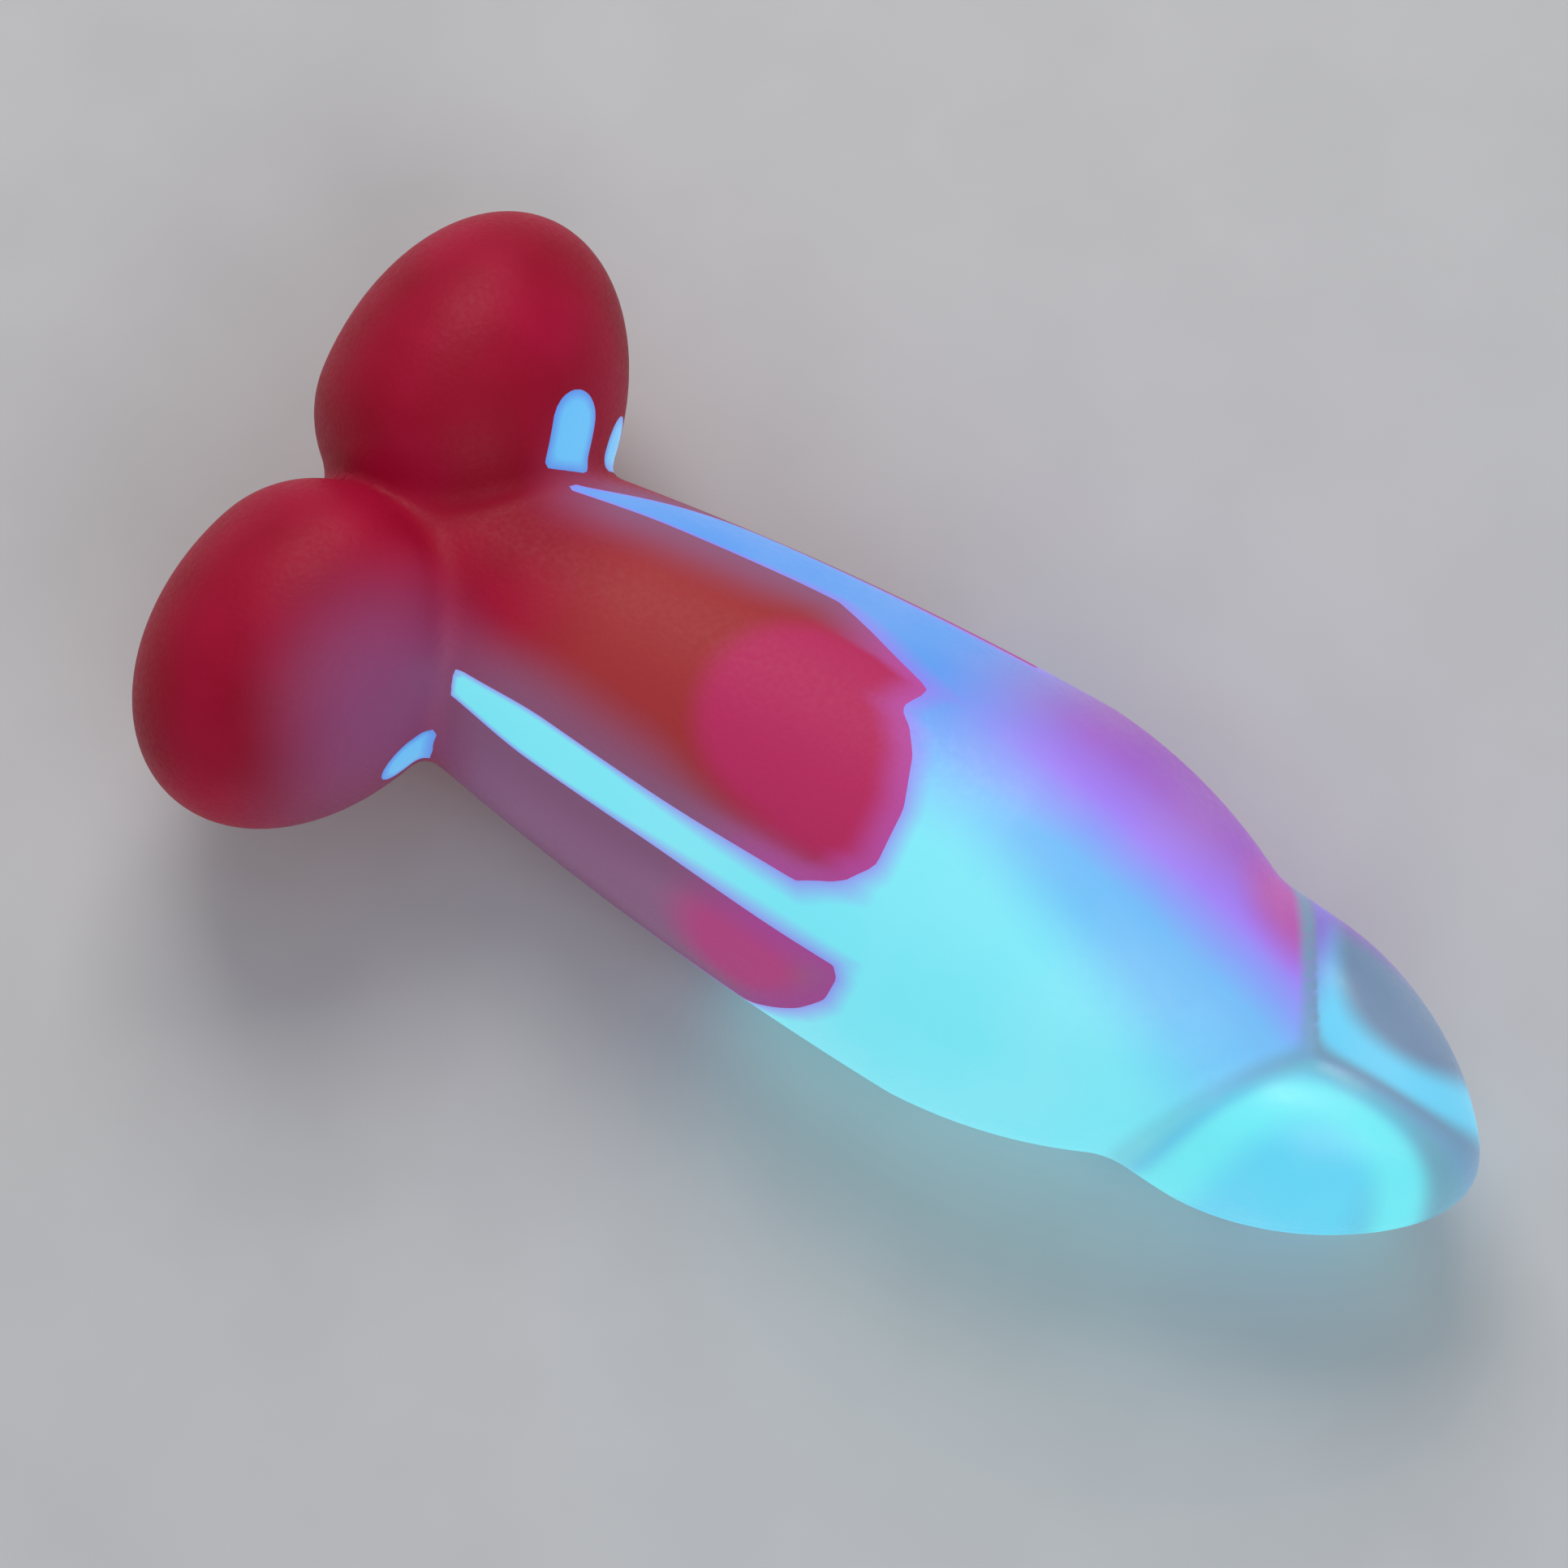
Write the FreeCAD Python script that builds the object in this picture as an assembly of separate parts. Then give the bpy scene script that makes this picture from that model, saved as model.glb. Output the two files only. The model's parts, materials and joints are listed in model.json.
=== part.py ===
import FreeCAD
import Part
import math
import os

V = FreeCAD.Vector
os.makedirs("parts", exist_ok=True)

# Walls and clearances
WALL = 2.4
SKIN = 1.2
RUN = 0.35
FIT = 0.2
SEAT = 0.1

# Barrel of the body along X, widest ahead of the middle
REAR_X = -98.0
ROOT_X = -74.0
ROOT_R = 23.6
BULGE_X = 26.0
BULGE_R = 34.0
NECK_X = 62.0
NECK_R = 23.8
FRONT_X = 84.0
AXIS_Z = 26.5
BELLY_Z = 4.5
PARTING_Z = 19.5

# Rear lobes
LOBE_X = -84.4
LOBE_Y = 20.5
LOBE_OUT = 34.8
LOBE_IN = 21.0
LOBE_WIDTH = 47.0
LOBE_HEIGHT = 58.0
LOBE_SWEEP = 8.0
LOBE_RISE = 17.0
LOBE_FLAT = 1.8

# Nose lobes and the core that fills the underside between them
NOSE_X = 82.8
NOSE_Y = 9.0
NOSE_Z = 22.5
NOSE_LENGTH = 54.0
NOSE_WIDTH = 25.0
NOSE_HEIGHT = 41.0
NOSE_TOE_IN = 23.0
CORE_LENGTH = 48.0
CORE_WIDTH = 30.0
CORE_HEIGHT = 33.0
CORE_Z = 19.5

# Red jacket: where it ends, its tongues and the glowing stripes between them
LINER_REAR_X = -70.0
JACKET_EDGE_X = -58.0
TOP_TONGUE_X = 8.0
SIDE_TONGUE_X = 11.0
STRIPE_REAR_X = -65.0
STRIPE_W = 7.0
STRIPE_ANGLE = 47.0

# Arched light windows in the lobes
WINDOW_R = 5.0
WINDOW_H = 12.5
WINDOW_RIM = 0.8

# Feet
LOBE_FOOT_R = 5.5
LOBE_FOOT_H = 5.0
LOBE_FOOT_IN = 4.0
NOSE_FOOT_R = 3.5
NOSE_FOOT_SETBACK = 8.0

# Keypad
BEZEL_X0 = -31.0
BEZEL_X1 = 31.0
BEZEL_W = 36.0
BEZEL_CORNER = 10.0
FLANGE_T = 1.2
FLANGE_LIP = 1.6
KEY_X0 = 20.0
KEY_PITCH_X = 11.0
KEY_PITCH_Y = 11.5
KEY_L = 7.5
KEY_W = 8.5
KEY_PROUD = 1.4
KEY_TRAVEL = 1.2
KEY_FLANGE = 0.8
KEY_FLANGE_T = 1.0
FUNCTION_X = -21.0
FUNCTION_Y = 7.0
FUNCTION_L = 5.0
MAT_DOME_R = 3.0
MAT_DOME_H = 0.8
MAT_T = 1.0
BOARD_T = 1.6
POST_R = 2.2
POST_SHOULDER = 1.0
POST_X = 28.2
POST_Y = 10.0
PILOT_R = 0.9
SMALL_SCREW_R = 0.85
SMALL_HEAD_R = 1.9
SMALL_HEAD_H = 1.3

# Hook plunger on the belly
HOOK_X = -44.0
HOOK_R = 5.5
HOOK_FLANGE_R = 7.8
HOOK_FLANGE_T = 1.4
HOOK_TRAVEL = 4.0
HOOK_TIP_GAP = 0.3
GUIDE_T = 1.6
SPRING_R = 4.4
SPRING_WIRE = 0.35
SWITCH_H = 3.6

# Boards
MAIN_Z = 21.0
MAIN_X0 = -54.0
MAIN_X1 = 40.0
MAIN_W = 30.0
MAIN_POST_X = 36.0
MAIN_POST_REAR_X = -36.0
MAIN_POST_Y = 13.2
MAIN_POST_R = 2.6
LIGHT_X0 = 12.0
LIGHT_X1 = 52.0
LIGHT_W = 11.0
LIGHT_RISE = 5.5
SPACER_R = 2.4
LED_R = 2.5
LED_H = 5.0
LED_COUNT = 4
LED_PITCH = 10.0
SOUNDER_X = -10.0
SOUNDER_R = 13.5
SOUNDER_H = 8.0

# Earpiece in the nose and microphone near the rear lobes
EAR_X = 82.8
EAR_R = 9.7
EAR_H = 6.5
EAR_GASKET_T = 1.0
EAR_HOLE_R = 1.0
EAR_RING_R = 5.0
MIC_X = -61.0
MIC_R = 4.8
MIC_H = 5.0
MIC_BOOT_T = 1.4
MIC_HOLE_R = 0.9

# Slide switches ahead of the keypad
SLIDER_X = 44.0
SLIDER_Y = 8.0
SLIDER_L = 4.0
SLIDER_W = 3.0
SLIDER_TRAVEL = 3.0
SLIDER_PROUD = 0.9
SLIDER_FLANGE = 1.0
SLIDER_FLANGE_T = 0.8
CAN_LEG = 1.2
CAN_W = 6.0
CAN_H = 4.0

# Modular line jack low between the lobes
JACK_X0 = -94.0
JACK_L = 22.0
JACK_W = 16.0
JACK_H = 13.0
JACK_Z = 4.0
MOUTH_W = 9.8
MOUTH_H = 8.0
MOUTH_DEPTH = 12.0
CONTACT_PITCH = 1.3
CONTACT_T = 0.5

# Case screws and their bosses
SCREW_R = 1.3
HEAD_R = 2.8
HEAD_H = 2.0
BOSS_R = 3.8
CASE_SCREW_X = 57.0
CASE_SCREW_Y = 8.0
SCREW_BITE = 10.0
HEAD_SINK = 1.0

FAR = 200.0


def box(x0, x1, y0, y1, z0, z1):
    return Part.makeBox(x1 - x0, y1 - y0, z1 - z0, V(x0, y0, z0))


def cyl(x, y, z0, z1, r):
    return Part.makeCylinder(r, z1 - z0, V(x, y, z0))


def tube(x, y, z0, z1, r_out, r_in):
    return cyl(x, y, z0, z1, r_out).cut(cyl(x, y, z0 - 1.0, z1 + 1.0, r_in))


def rounded(x0, x1, w, r, z0, z1):
    long_box = box(x0 + r, x1 - r, -w / 2, w / 2, z0, z1)
    wide_box = box(x0, x1, -w / 2 + r, w / 2 - r, z0, z1)
    pieces = [wide_box]
    for x in (x0 + r, x1 - r):
        for y in (-w / 2 + r, w / 2 - r):
            pieces.append(cyl(x, y, z0, z1, r))
    return long_box.multiFuse(pieces).removeSplitter()


def soft_box(length, width, height, r):
    block = Part.makeBox(length, width, height, V(-length / 2, -width / 2, 0))
    upright = [e for e in block.Edges if abs(e.Vertexes[0].Z - e.Vertexes[1].Z) > height / 2]
    return block.makeFillet(r, upright)


def ellipsoid(center, length, width, height, yaw):
    ball = Part.makeSphere(1.0)
    stretch = FreeCAD.Matrix()
    stretch.scale(length / 2, width / 2, height / 2)
    shape = ball.transformGeometry(stretch)
    shape.rotate(V(0, 0, 0), V(0, 0, 1), yaw)
    shape.translate(center)
    return shape


def above(shape, z):
    return shape.common(box(-FAR, FAR, -FAR, FAR, z, FAR))


# Shape of the outer skin and of the same skin moved inwards
def barrel(inset):
    rear_mid = V(REAR_X + 0.23 * (ROOT_X - REAR_X) + 0.6 * inset, 0, 0.65 * ROOT_R - 0.7 * inset)
    swell_mid = V((ROOT_X + BULGE_X) / 2, 0, ROOT_R + 0.72 * (BULGE_R - ROOT_R) - inset)
    taper_mid = V(BULGE_X + 0.556 * (NECK_X - BULGE_X), 0, BULGE_R - 0.347 * (BULGE_R - NECK_R) - inset)
    front_mid = V(NECK_X + 0.7 * (FRONT_X - NECK_X) - 0.3 * inset, 0, 0.56 * NECK_R - 0.7 * inset)
    rear_tip = V(REAR_X + inset, 0, 0)
    root = V(ROOT_X, 0, ROOT_R - inset)
    bulge = V(BULGE_X, 0, BULGE_R - inset)
    neck = V(NECK_X, 0, NECK_R - inset)
    front_tip = V(FRONT_X - inset, 0, 0)
    edges = [
        Part.Arc(rear_tip, rear_mid, root).toShape(),
        Part.Arc(root, swell_mid, bulge).toShape(),
        Part.Arc(bulge, taper_mid, neck).toShape(),
        Part.Arc(neck, front_mid, front_tip).toShape(),
        Part.makeLine(front_tip, rear_tip),
    ]
    solid = Part.Face(Part.Wire(edges)).revolve(V(0, 0, 0), V(1, 0, 0), 360)
    solid.translate(V(0, 0, AXIS_Z))
    return solid


def bellied(inset):
    return above(barrel(inset), BELLY_Z + inset)


def lobe_center(side):
    return V(LOBE_X, side * LOBE_Y, LOBE_FOOT_H + LOBE_HEIGHT / 2 - LOBE_FLAT)


def lobe(side, inset):
    width = LOBE_WIDTH - 2 * inset
    height = LOBE_HEIGHT - 2 * inset
    outer_end = ellipsoid(V(0, 0, 0), width, 2 * (LOBE_OUT - inset), height, 0)
    outer_end = outer_end.common(box(-FAR, FAR, 0, FAR, -FAR, FAR))
    inner_end = ellipsoid(V(0, 0, 0), width, 2 * (LOBE_IN - inset), height, 0)
    inner_end = inner_end.common(box(-FAR, FAR, -FAR, 0, -FAR, FAR))
    shape = outer_end.fuse(inner_end)
    shape.rotate(V(0, 0, 0), V(1, 0, 0), LOBE_RISE)
    shape.rotate(V(0, 0, 0), V(0, 0, 1), 90 - side * 90 + side * LOBE_SWEEP)
    shape.translate(lobe_center(side))
    return above(shape, LOBE_FOOT_H + inset)


def nose(inset):
    center = V(NOSE_X, 0, CORE_Z)
    shape = ellipsoid(center, CORE_LENGTH - 2 * inset, CORE_WIDTH - 2 * inset, CORE_HEIGHT - 2 * inset, 0)
    for side in (-1, 1):
        spot = V(NOSE_X, side * NOSE_Y, NOSE_Z)
        sizes = (NOSE_LENGTH - 2 * inset, NOSE_WIDTH - 2 * inset, NOSE_HEIGHT - 2 * inset)
        shape = shape.fuse(ellipsoid(spot, sizes[0], sizes[1], sizes[2], -side * NOSE_TOE_IN))
    return above(shape, BELLY_Z + inset)


# Zone of the red jacket
def tongue_end(x_end, half, reach):
    plate = box(JACKET_EDGE_X - 1.0, x_end - half, -half, half, 0, reach)
    return plate.fuse(cyl(x_end - half, 0, 0, reach, half))


def stripe(angle):
    half = STRIPE_W / 2
    slab = box(STRIPE_REAR_X + half, FAR, -half, half, 3.0, FAR)
    slab = slab.fuse(cyl(STRIPE_REAR_X + half, 0, 3.0, FAR, half))
    slab.rotate(V(0, 0, 0), V(1, 0, 0), angle)
    slab.translate(V(0, 0, AXIS_Z))
    return slab


def jacket_zone(lobes):
    reach = BULGE_R + 5.0
    slope = math.tan(math.radians(STRIPE_ANGLE))
    corners = [V(-FAR, 0, 0), V(-FAR, reach * slope, reach), V(-FAR, -reach * slope, reach), V(-FAR, 0, 0)]
    wedge = Part.Face(Part.makePolygon(corners)).extrude(V(2 * FAR, 0, 0))
    half_top = BULGE_R * math.sin(math.radians(STRIPE_ANGLE))
    top = tongue_end(TOP_TONGUE_X, half_top, reach).common(wedge)
    top.translate(V(0, 0, AXIS_Z))
    zone = box(-FAR, JACKET_EDGE_X, -FAR, FAR, -FAR, FAR).fuse(top)
    for side in (-1, 1):
        flank = tongue_end(SIDE_TONGUE_X, BULGE_R - 5.0, reach)
        flank.rotate(V(0, 0, 0), V(1, 0, 0), -side * 90)
        flank = flank.cut(wedge)
        flank.translate(V(0, 0, AXIS_Z))
        zone = zone.fuse(flank)
    for side in (-1, 1):
        zone = zone.cut(stripe(side * STRIPE_ANGLE).cut(lobes))
    return zone


def lobe_arch(direction, upright, side):
    top = WINDOW_H / 2 - WINDOW_R
    arch = cyl(top, 0, 0, FAR, WINDOW_R)
    arch = arch.fuse(box(-WINDOW_H / 2, top, -WINDOW_R, WINDOW_R, 0, FAR))
    turn = FreeCAD.Rotation(upright, V(0, 0, 0), direction, "ZXY")
    arch = arch.transformGeometry(FreeCAD.Placement(lobe_center(side), turn).toMatrix())
    return arch.common(lobe(side, -0.5)).cut(barrel(-WINDOW_RIM))


def screw(x, y, z_head, down, head_r, head_h, shank_r, shank_l):
    head = cyl(x, y, 0, head_h, head_r)
    body = head.fuse(cyl(x, y, -shank_l, 0, shank_r))
    if not down:
        body.rotate(V(x, y, 0), V(1, 0, 0), 180)
    body.translate(V(0, 0, z_head))
    return body


def largest(shape):
    return max(shape.Solids, key=lambda solid: solid.Volume)


def save(name, shape):
    shape.exportStep("parts/" + name + ".step")


# Skins and hollows
barrel_outer = bellied(0.0)
barrel_mid = bellied(SKIN)
barrel_inner = bellied(WALL)
lobes_outer = lobe(1, 0.0).fuse(lobe(-1, 0.0))
lobes_inner = lobe(1, WALL).fuse(lobe(-1, WALL))
nose_outer = nose(0.0)
nose_inner = nose(WALL)
front = box(LINER_REAR_X, FAR, -FAR, FAR, -FAR, FAR)
rear = box(-FAR, LINER_REAR_X, -FAR, FAR, -FAR, FAR)
under_jacket = barrel_mid.common(front).fuse(barrel_inner.common(rear))
jacket_room = jacket_zone(lobes_outer).cut(under_jacket)
jacket = barrel_outer.fuse(lobes_outer).common(jacket_room).cut(lobes_inner)
diffuser = barrel_outer.fuse(nose_outer).cut(barrel_inner.fuse(nose_inner))
diffuser = diffuser.common(front).cut(jacket_room)
upper_space = box(-FAR, FAR, -FAR, FAR, PARTING_Z, FAR)
lower_space = box(-FAR, FAR, -FAR, FAR, -FAR, PARTING_Z)
upper_jacket = jacket.common(upper_space)
lower_jacket = jacket.common(lower_space)
upper_diffuser = diffuser.common(upper_space)
lower_diffuser = diffuser.common(lower_space)

# Levels of the stack behind the belly
floor_top = BELLY_Z + WALL
flange_top = floor_top + FLANGE_T
key_flange_z = flange_top + SEAT
key_top = key_flange_z + KEY_FLANGE_T
dome_z = key_top + KEY_TRAVEL + RUN
mat_z = dome_z + MAT_DOME_H
pad_board_z = mat_z + MAT_T
pad_board_top = pad_board_z + BOARD_T
main_top = MAIN_Z + BOARD_T

# Windows in the lobes
window_spots = [
    (1, V(0.73, 0.12, 0.66), V(-0.4, 0.8, 0.3)),
    (1, V(0.95, 0.32, 0.06), V(-0.4, 0.8, 0.3)),
    (-1, V(0.95, -0.36, 0.0), V(-0.4, -0.8, 0.3)),
]
windows = []
for side, direction, upright in window_spots:
    arch = lobe_arch(direction, upright, side)
    windows.append(lobe(side, 0.0).cut(lobe(side, WALL)).common(arch))
    upper_jacket = upper_jacket.cut(arch)
save("lobe_windows", Part.makeCompound(windows))

# Keypad bezel with its flange and the posts that carry the key mat and board
key_spots = []
for row in range(4):
    for col in range(3):
        key_spots.append((KEY_X0 - row * KEY_PITCH_X, (col - 1) * KEY_PITCH_Y, KEY_L))
for side in (1, -1):
    key_spots.append((FUNCTION_X, side * FUNCTION_Y, FUNCTION_L))
key_names = ["key_1", "key_2", "key_3", "key_4", "key_5", "key_6", "key_7", "key_8", "key_9",
             "key_star", "key_0", "key_hash", "key_redial", "key_flash"]
post_spots = [(sx * POST_X, sy * POST_Y) for sx in (-1, 1) for sy in (-1, 1)]
bezel = rounded(BEZEL_X0, BEZEL_X1, BEZEL_W, BEZEL_CORNER, BELLY_Z, floor_top)
flange = rounded(BEZEL_X0 - FLANGE_LIP, BEZEL_X1 + FLANGE_LIP, BEZEL_W + 2 * FLANGE_LIP,
                 BEZEL_CORNER + FLANGE_LIP, floor_top, flange_top)
bezel = bezel.fuse(flange.common(barrel(WALL + FIT)))
for x, y in post_spots:
    bezel = bezel.fuse(cyl(x, y, floor_top, mat_z, POST_R + POST_SHOULDER))
    bezel = bezel.fuse(cyl(x, y, floor_top, pad_board_z, POST_R))
    bezel = bezel.cut(cyl(x, y, flange_top, FAR, PILOT_R))
for x, y, length in key_spots:
    hole = soft_box(length + 2 * RUN, KEY_W + 2 * RUN, FAR, 1.5 + RUN)
    hole.translate(V(x, y, 0))
    bezel = bezel.cut(hole)
save("keypad_bezel", bezel.removeSplitter())

# Keys
for name, spot in zip(key_names, key_spots):
    cap = soft_box(spot[2], KEY_W, key_top - BELLY_Z + KEY_PROUD, 1.5)
    rim = [e for e in cap.Edges if max(v.Z for v in e.Vertexes) < 0.01]
    cap = cap.makeFillet(0.5, rim)
    cap.translate(V(spot[0], spot[1], BELLY_Z - KEY_PROUD))
    skirt = soft_box(spot[2] + 2 * KEY_FLANGE, KEY_W + 2 * KEY_FLANGE, KEY_FLANGE_T, 1.5)
    skirt.translate(V(spot[0], spot[1], key_flange_z))
    save(name, cap.fuse(skirt).removeSplitter())

# Rubber key mat and its board
mat = rounded(BEZEL_X0 - SEAT, BEZEL_X1 + SEAT, BEZEL_W - 2 * FIT, BEZEL_CORNER, mat_z, pad_board_z)
pad_board = rounded(BEZEL_X0 - SEAT, BEZEL_X1 + SEAT, BEZEL_W - 2 * FIT, BEZEL_CORNER,
                    pad_board_z, pad_board_top)
for x, y, length in key_spots:
    mat = mat.fuse(cyl(x, y, dome_z, mat_z, min(MAT_DOME_R, length / 2)))
for x, y in post_spots:
    mat = mat.cut(cyl(x, y, 0, FAR, POST_R + SEAT))
    pad_board = pad_board.cut(cyl(x, y, 0, FAR, SMALL_SCREW_R + SEAT))
save("keypad_mat", mat)
save("keypad_board", pad_board)

# Openings and bosses of the lower shell
opening = rounded(BEZEL_X0 - FIT, BEZEL_X1 + FIT, BEZEL_W + 2 * FIT, BEZEL_CORNER + FIT, 0, floor_top + SEAT)
hook_hole = cyl(HOOK_X, 0, 0, floor_top + SEAT, HOOK_R + RUN)
lower_cuts = [opening, hook_hole]
for y in (-2.4, 0, 2.4):
    lower_cuts.append(cyl(MIC_X, y, 0, floor_top + SEAT, MIC_HOLE_R))
for i in range(8):
    angle = math.radians(45 * i)
    ring_x = EAR_X + EAR_RING_R * math.cos(angle)
    lower_cuts.append(cyl(ring_x, EAR_RING_R * math.sin(angle), 0, floor_top + SEAT, EAR_HOLE_R))
lower_cuts.append(cyl(EAR_X, 0, 0, floor_top + SEAT, EAR_HOLE_R))
lower_cuts.append(cyl(EAR_X, 0, floor_top, floor_top + EAR_GASKET_T + EAR_H + SEAT, EAR_R + SEAT))
slot_x0 = SLIDER_X - SLIDER_L / 2 - RUN
slot_x1 = SLIDER_X + SLIDER_L / 2 + SLIDER_TRAVEL + RUN
for side in (-1, 1):
    y0 = side * SLIDER_Y - SLIDER_W / 2 - RUN
    lower_cuts.append(box(slot_x0, slot_x1, y0, y0 + SLIDER_W + 2 * RUN, 0, floor_top + SEAT))

guide_top = floor_top + SEAT + HOOK_TRAVEL + HOOK_FLANGE_T + 1.0
guide_r = HOOK_FLANGE_R + RUN
lower_adds = [tube(HOOK_X, 0, floor_top - SKIN, guide_top, guide_r + GUIDE_T, guide_r).common(barrel_mid)]
main_posts = [(x, sy * MAIN_POST_Y) for x in (MAIN_POST_REAR_X, MAIN_POST_X) for sy in (-1, 1)]
for x, y in main_posts:
    post = tube(x, y, floor_top - SKIN, MAIN_Z, MAIN_POST_R, PILOT_R)
    lower_adds.append(post.common(barrel_mid))


def screw_bore(x, y, z0):
    sink = cyl(x, y, z0 - 1.0, z0 + HEAD_SINK + HEAD_H, HEAD_R + FIT)
    bore = cyl(x, y, z0, PARTING_Z, SCREW_R + FIT)
    return sink.fuse(bore).fuse(cyl(x, y, PARTING_Z, PARTING_Z + SCREW_BITE + 1.0, SCREW_R + SEAT))


case_spots = []
for side in (-1, 1):
    case_spots.append((CASE_SCREW_X, side * CASE_SCREW_Y, BELLY_Z))
    case_spots.append((LOBE_X, side * (LOBE_Y - LOBE_FOOT_IN), LOBE_FOOT_H))
screws = []
for x, y, z0 in case_spots:
    column = cyl(x, y, z0, FAR, BOSS_R)
    if x > 0:
        lower_adds.append(column.common(barrel_outer).common(lower_space))
        upper_diffuser = upper_diffuser.fuse(column.common(barrel_outer).common(upper_space))
        upper_diffuser = upper_diffuser.cut(screw_bore(x, y, z0))
        lower_cuts.append(screw_bore(x, y, z0))
    else:
        lower_jacket = lower_jacket.fuse(column.common(lobes_outer).common(lower_space))
        lower_jacket = lower_jacket.cut(screw_bore(x, y, z0))
        upper_jacket = upper_jacket.fuse(column.common(lobes_outer).common(upper_space))
        upper_jacket = upper_jacket.cut(screw_bore(x, y, z0))
    seat_z = z0 + HEAD_SINK + HEAD_H
    screws.append(screw(x, y, seat_z, False, HEAD_R, HEAD_H, SCREW_R, PARTING_Z + SCREW_BITE - seat_z))
save("case_screws", Part.makeCompound(screws))

lower_diffuser = lower_diffuser.multiFuse(lower_adds)
lower_diffuser = lower_diffuser.cut(Part.makeCompound(lower_cuts))
lower_jacket = lower_jacket.cut(Part.makeCompound(lower_cuts[:5]))

# Line jack held in its cut-out
jack = box(JACK_X0, JACK_X0 + JACK_L, -JACK_W / 2, JACK_W / 2, JACK_Z, JACK_Z + JACK_H)
lower_jacket = lower_jacket.cut(box(-FAR, JACK_X0 + JACK_L + 1.0, -JACK_W / 2 - FIT, JACK_W / 2 + FIT,
                                    JACK_Z - FIT, JACK_Z + JACK_H + FIT))
mouth_z0 = JACK_Z + (JACK_H - MOUTH_H) / 2
mouth_z1 = mouth_z0 + MOUTH_H
jack = jack.cut(box(JACK_X0 - 1.0, JACK_X0 + MOUTH_DEPTH, -MOUTH_W / 2, MOUTH_W / 2, mouth_z0, mouth_z1))
save("line_jack", jack)
contacts = []
for i in range(4):
    y = (i - 1.5) * CONTACT_PITCH
    contacts.append(box(JACK_X0 + 1.5, JACK_X0 + MOUTH_DEPTH, y - CONTACT_T / 2, y + CONTACT_T / 2,
                        mouth_z1 - CONTACT_T, mouth_z1))
save("jack_contacts", Part.makeCompound(contacts))

save("upper_jacket", largest(upper_jacket))
save("lower_jacket", largest(lower_jacket))
save("upper_diffuser", largest(upper_diffuser))
save("lower_diffuser", largest(lower_diffuser))

# Hook plunger, spring and switch
hook_flange_z = floor_top + SEAT + HOOK_TRAVEL
hook_flange_top = hook_flange_z + HOOK_FLANGE_T
plunger = cyl(HOOK_X, 0, HOOK_TIP_GAP, hook_flange_z, HOOK_R)
plunger = plunger.makeFillet(0.8, [e for e in plunger.Edges if e.BoundBox.ZMax < HOOK_TIP_GAP + 0.01])
plunger = plunger.fuse(cyl(HOOK_X, 0, hook_flange_z, hook_flange_top, HOOK_FLANGE_R))
save("hook_plunger", plunger)
switch_z = MAIN_Z - SWITCH_H
spring_sleeve = tube(HOOK_X, 0, hook_flange_top, switch_z, SPRING_R + SPRING_WIRE, SPRING_R - SPRING_WIRE)
save("hook_spring", spring_sleeve)
save("hook_switch", box(HOOK_X - 7.0, HOOK_X + 7.0, -5.0, 5.0, switch_z, MAIN_Z))

# Boards, sounder and light
main_board = box(MAIN_X0, MAIN_X1, -MAIN_W / 2, MAIN_W / 2, MAIN_Z, main_top)
small_screws = []
for x, y in main_posts:
    main_board = main_board.cut(cyl(x, y, 0, FAR, SMALL_SCREW_R + SEAT))
    small_screws.append(screw(x, y, main_top, True, SMALL_HEAD_R, SMALL_HEAD_H, SMALL_SCREW_R, 6.0))
for x, y in post_spots:
    small_screws.append(screw(x, y, pad_board_top, True, SMALL_HEAD_R, SMALL_HEAD_H, SMALL_SCREW_R, 5.0))
save("main_board", main_board)
save("board_screws", Part.makeCompound(small_screws))
save("ringer_sounder", cyl(SOUNDER_X, 0, main_top, main_top + SOUNDER_H, SOUNDER_R))
light_z = main_top + LIGHT_RISE
light_top = light_z + BOARD_T
save("light_board", box(LIGHT_X0, LIGHT_X1, -LIGHT_W / 2, LIGHT_W / 2, light_z, light_top))
spacers = [cyl(x, 0, main_top, light_z, SPACER_R) for x in (LIGHT_X0 + 4.0, MAIN_X1 - 4.0)]
save("light_spacers", Part.makeCompound(spacers))
leds = []
for i in range(LED_COUNT):
    x = (LIGHT_X0 + LIGHT_X1) / 2 + (i - (LED_COUNT - 1) / 2) * LED_PITCH
    led = cyl(x, 0, light_top, light_top + LED_H - LED_R, LED_R)
    leds.append(led.fuse(Part.makeSphere(LED_R, V(x, 0, light_top + LED_H - LED_R))).removeSplitter())
save("leds", Part.makeCompound(leds))

# Earpiece and microphone
save("receiver_gasket", tube(EAR_X, 0, floor_top, floor_top + EAR_GASKET_T, EAR_R - 2.3, EAR_R - 3.5))
ear_z = floor_top + EAR_GASKET_T
save("receiver_capsule", cyl(EAR_X, 0, ear_z, ear_z + EAR_H, EAR_R))
save("microphone_boot", tube(MIC_X, 0, floor_top, floor_top + MIC_H - 0.6, MIC_R + MIC_BOOT_T, MIC_R + SEAT))
save("microphone", cyl(MIC_X, 0, floor_top, floor_top + MIC_H, MIC_R))

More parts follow.
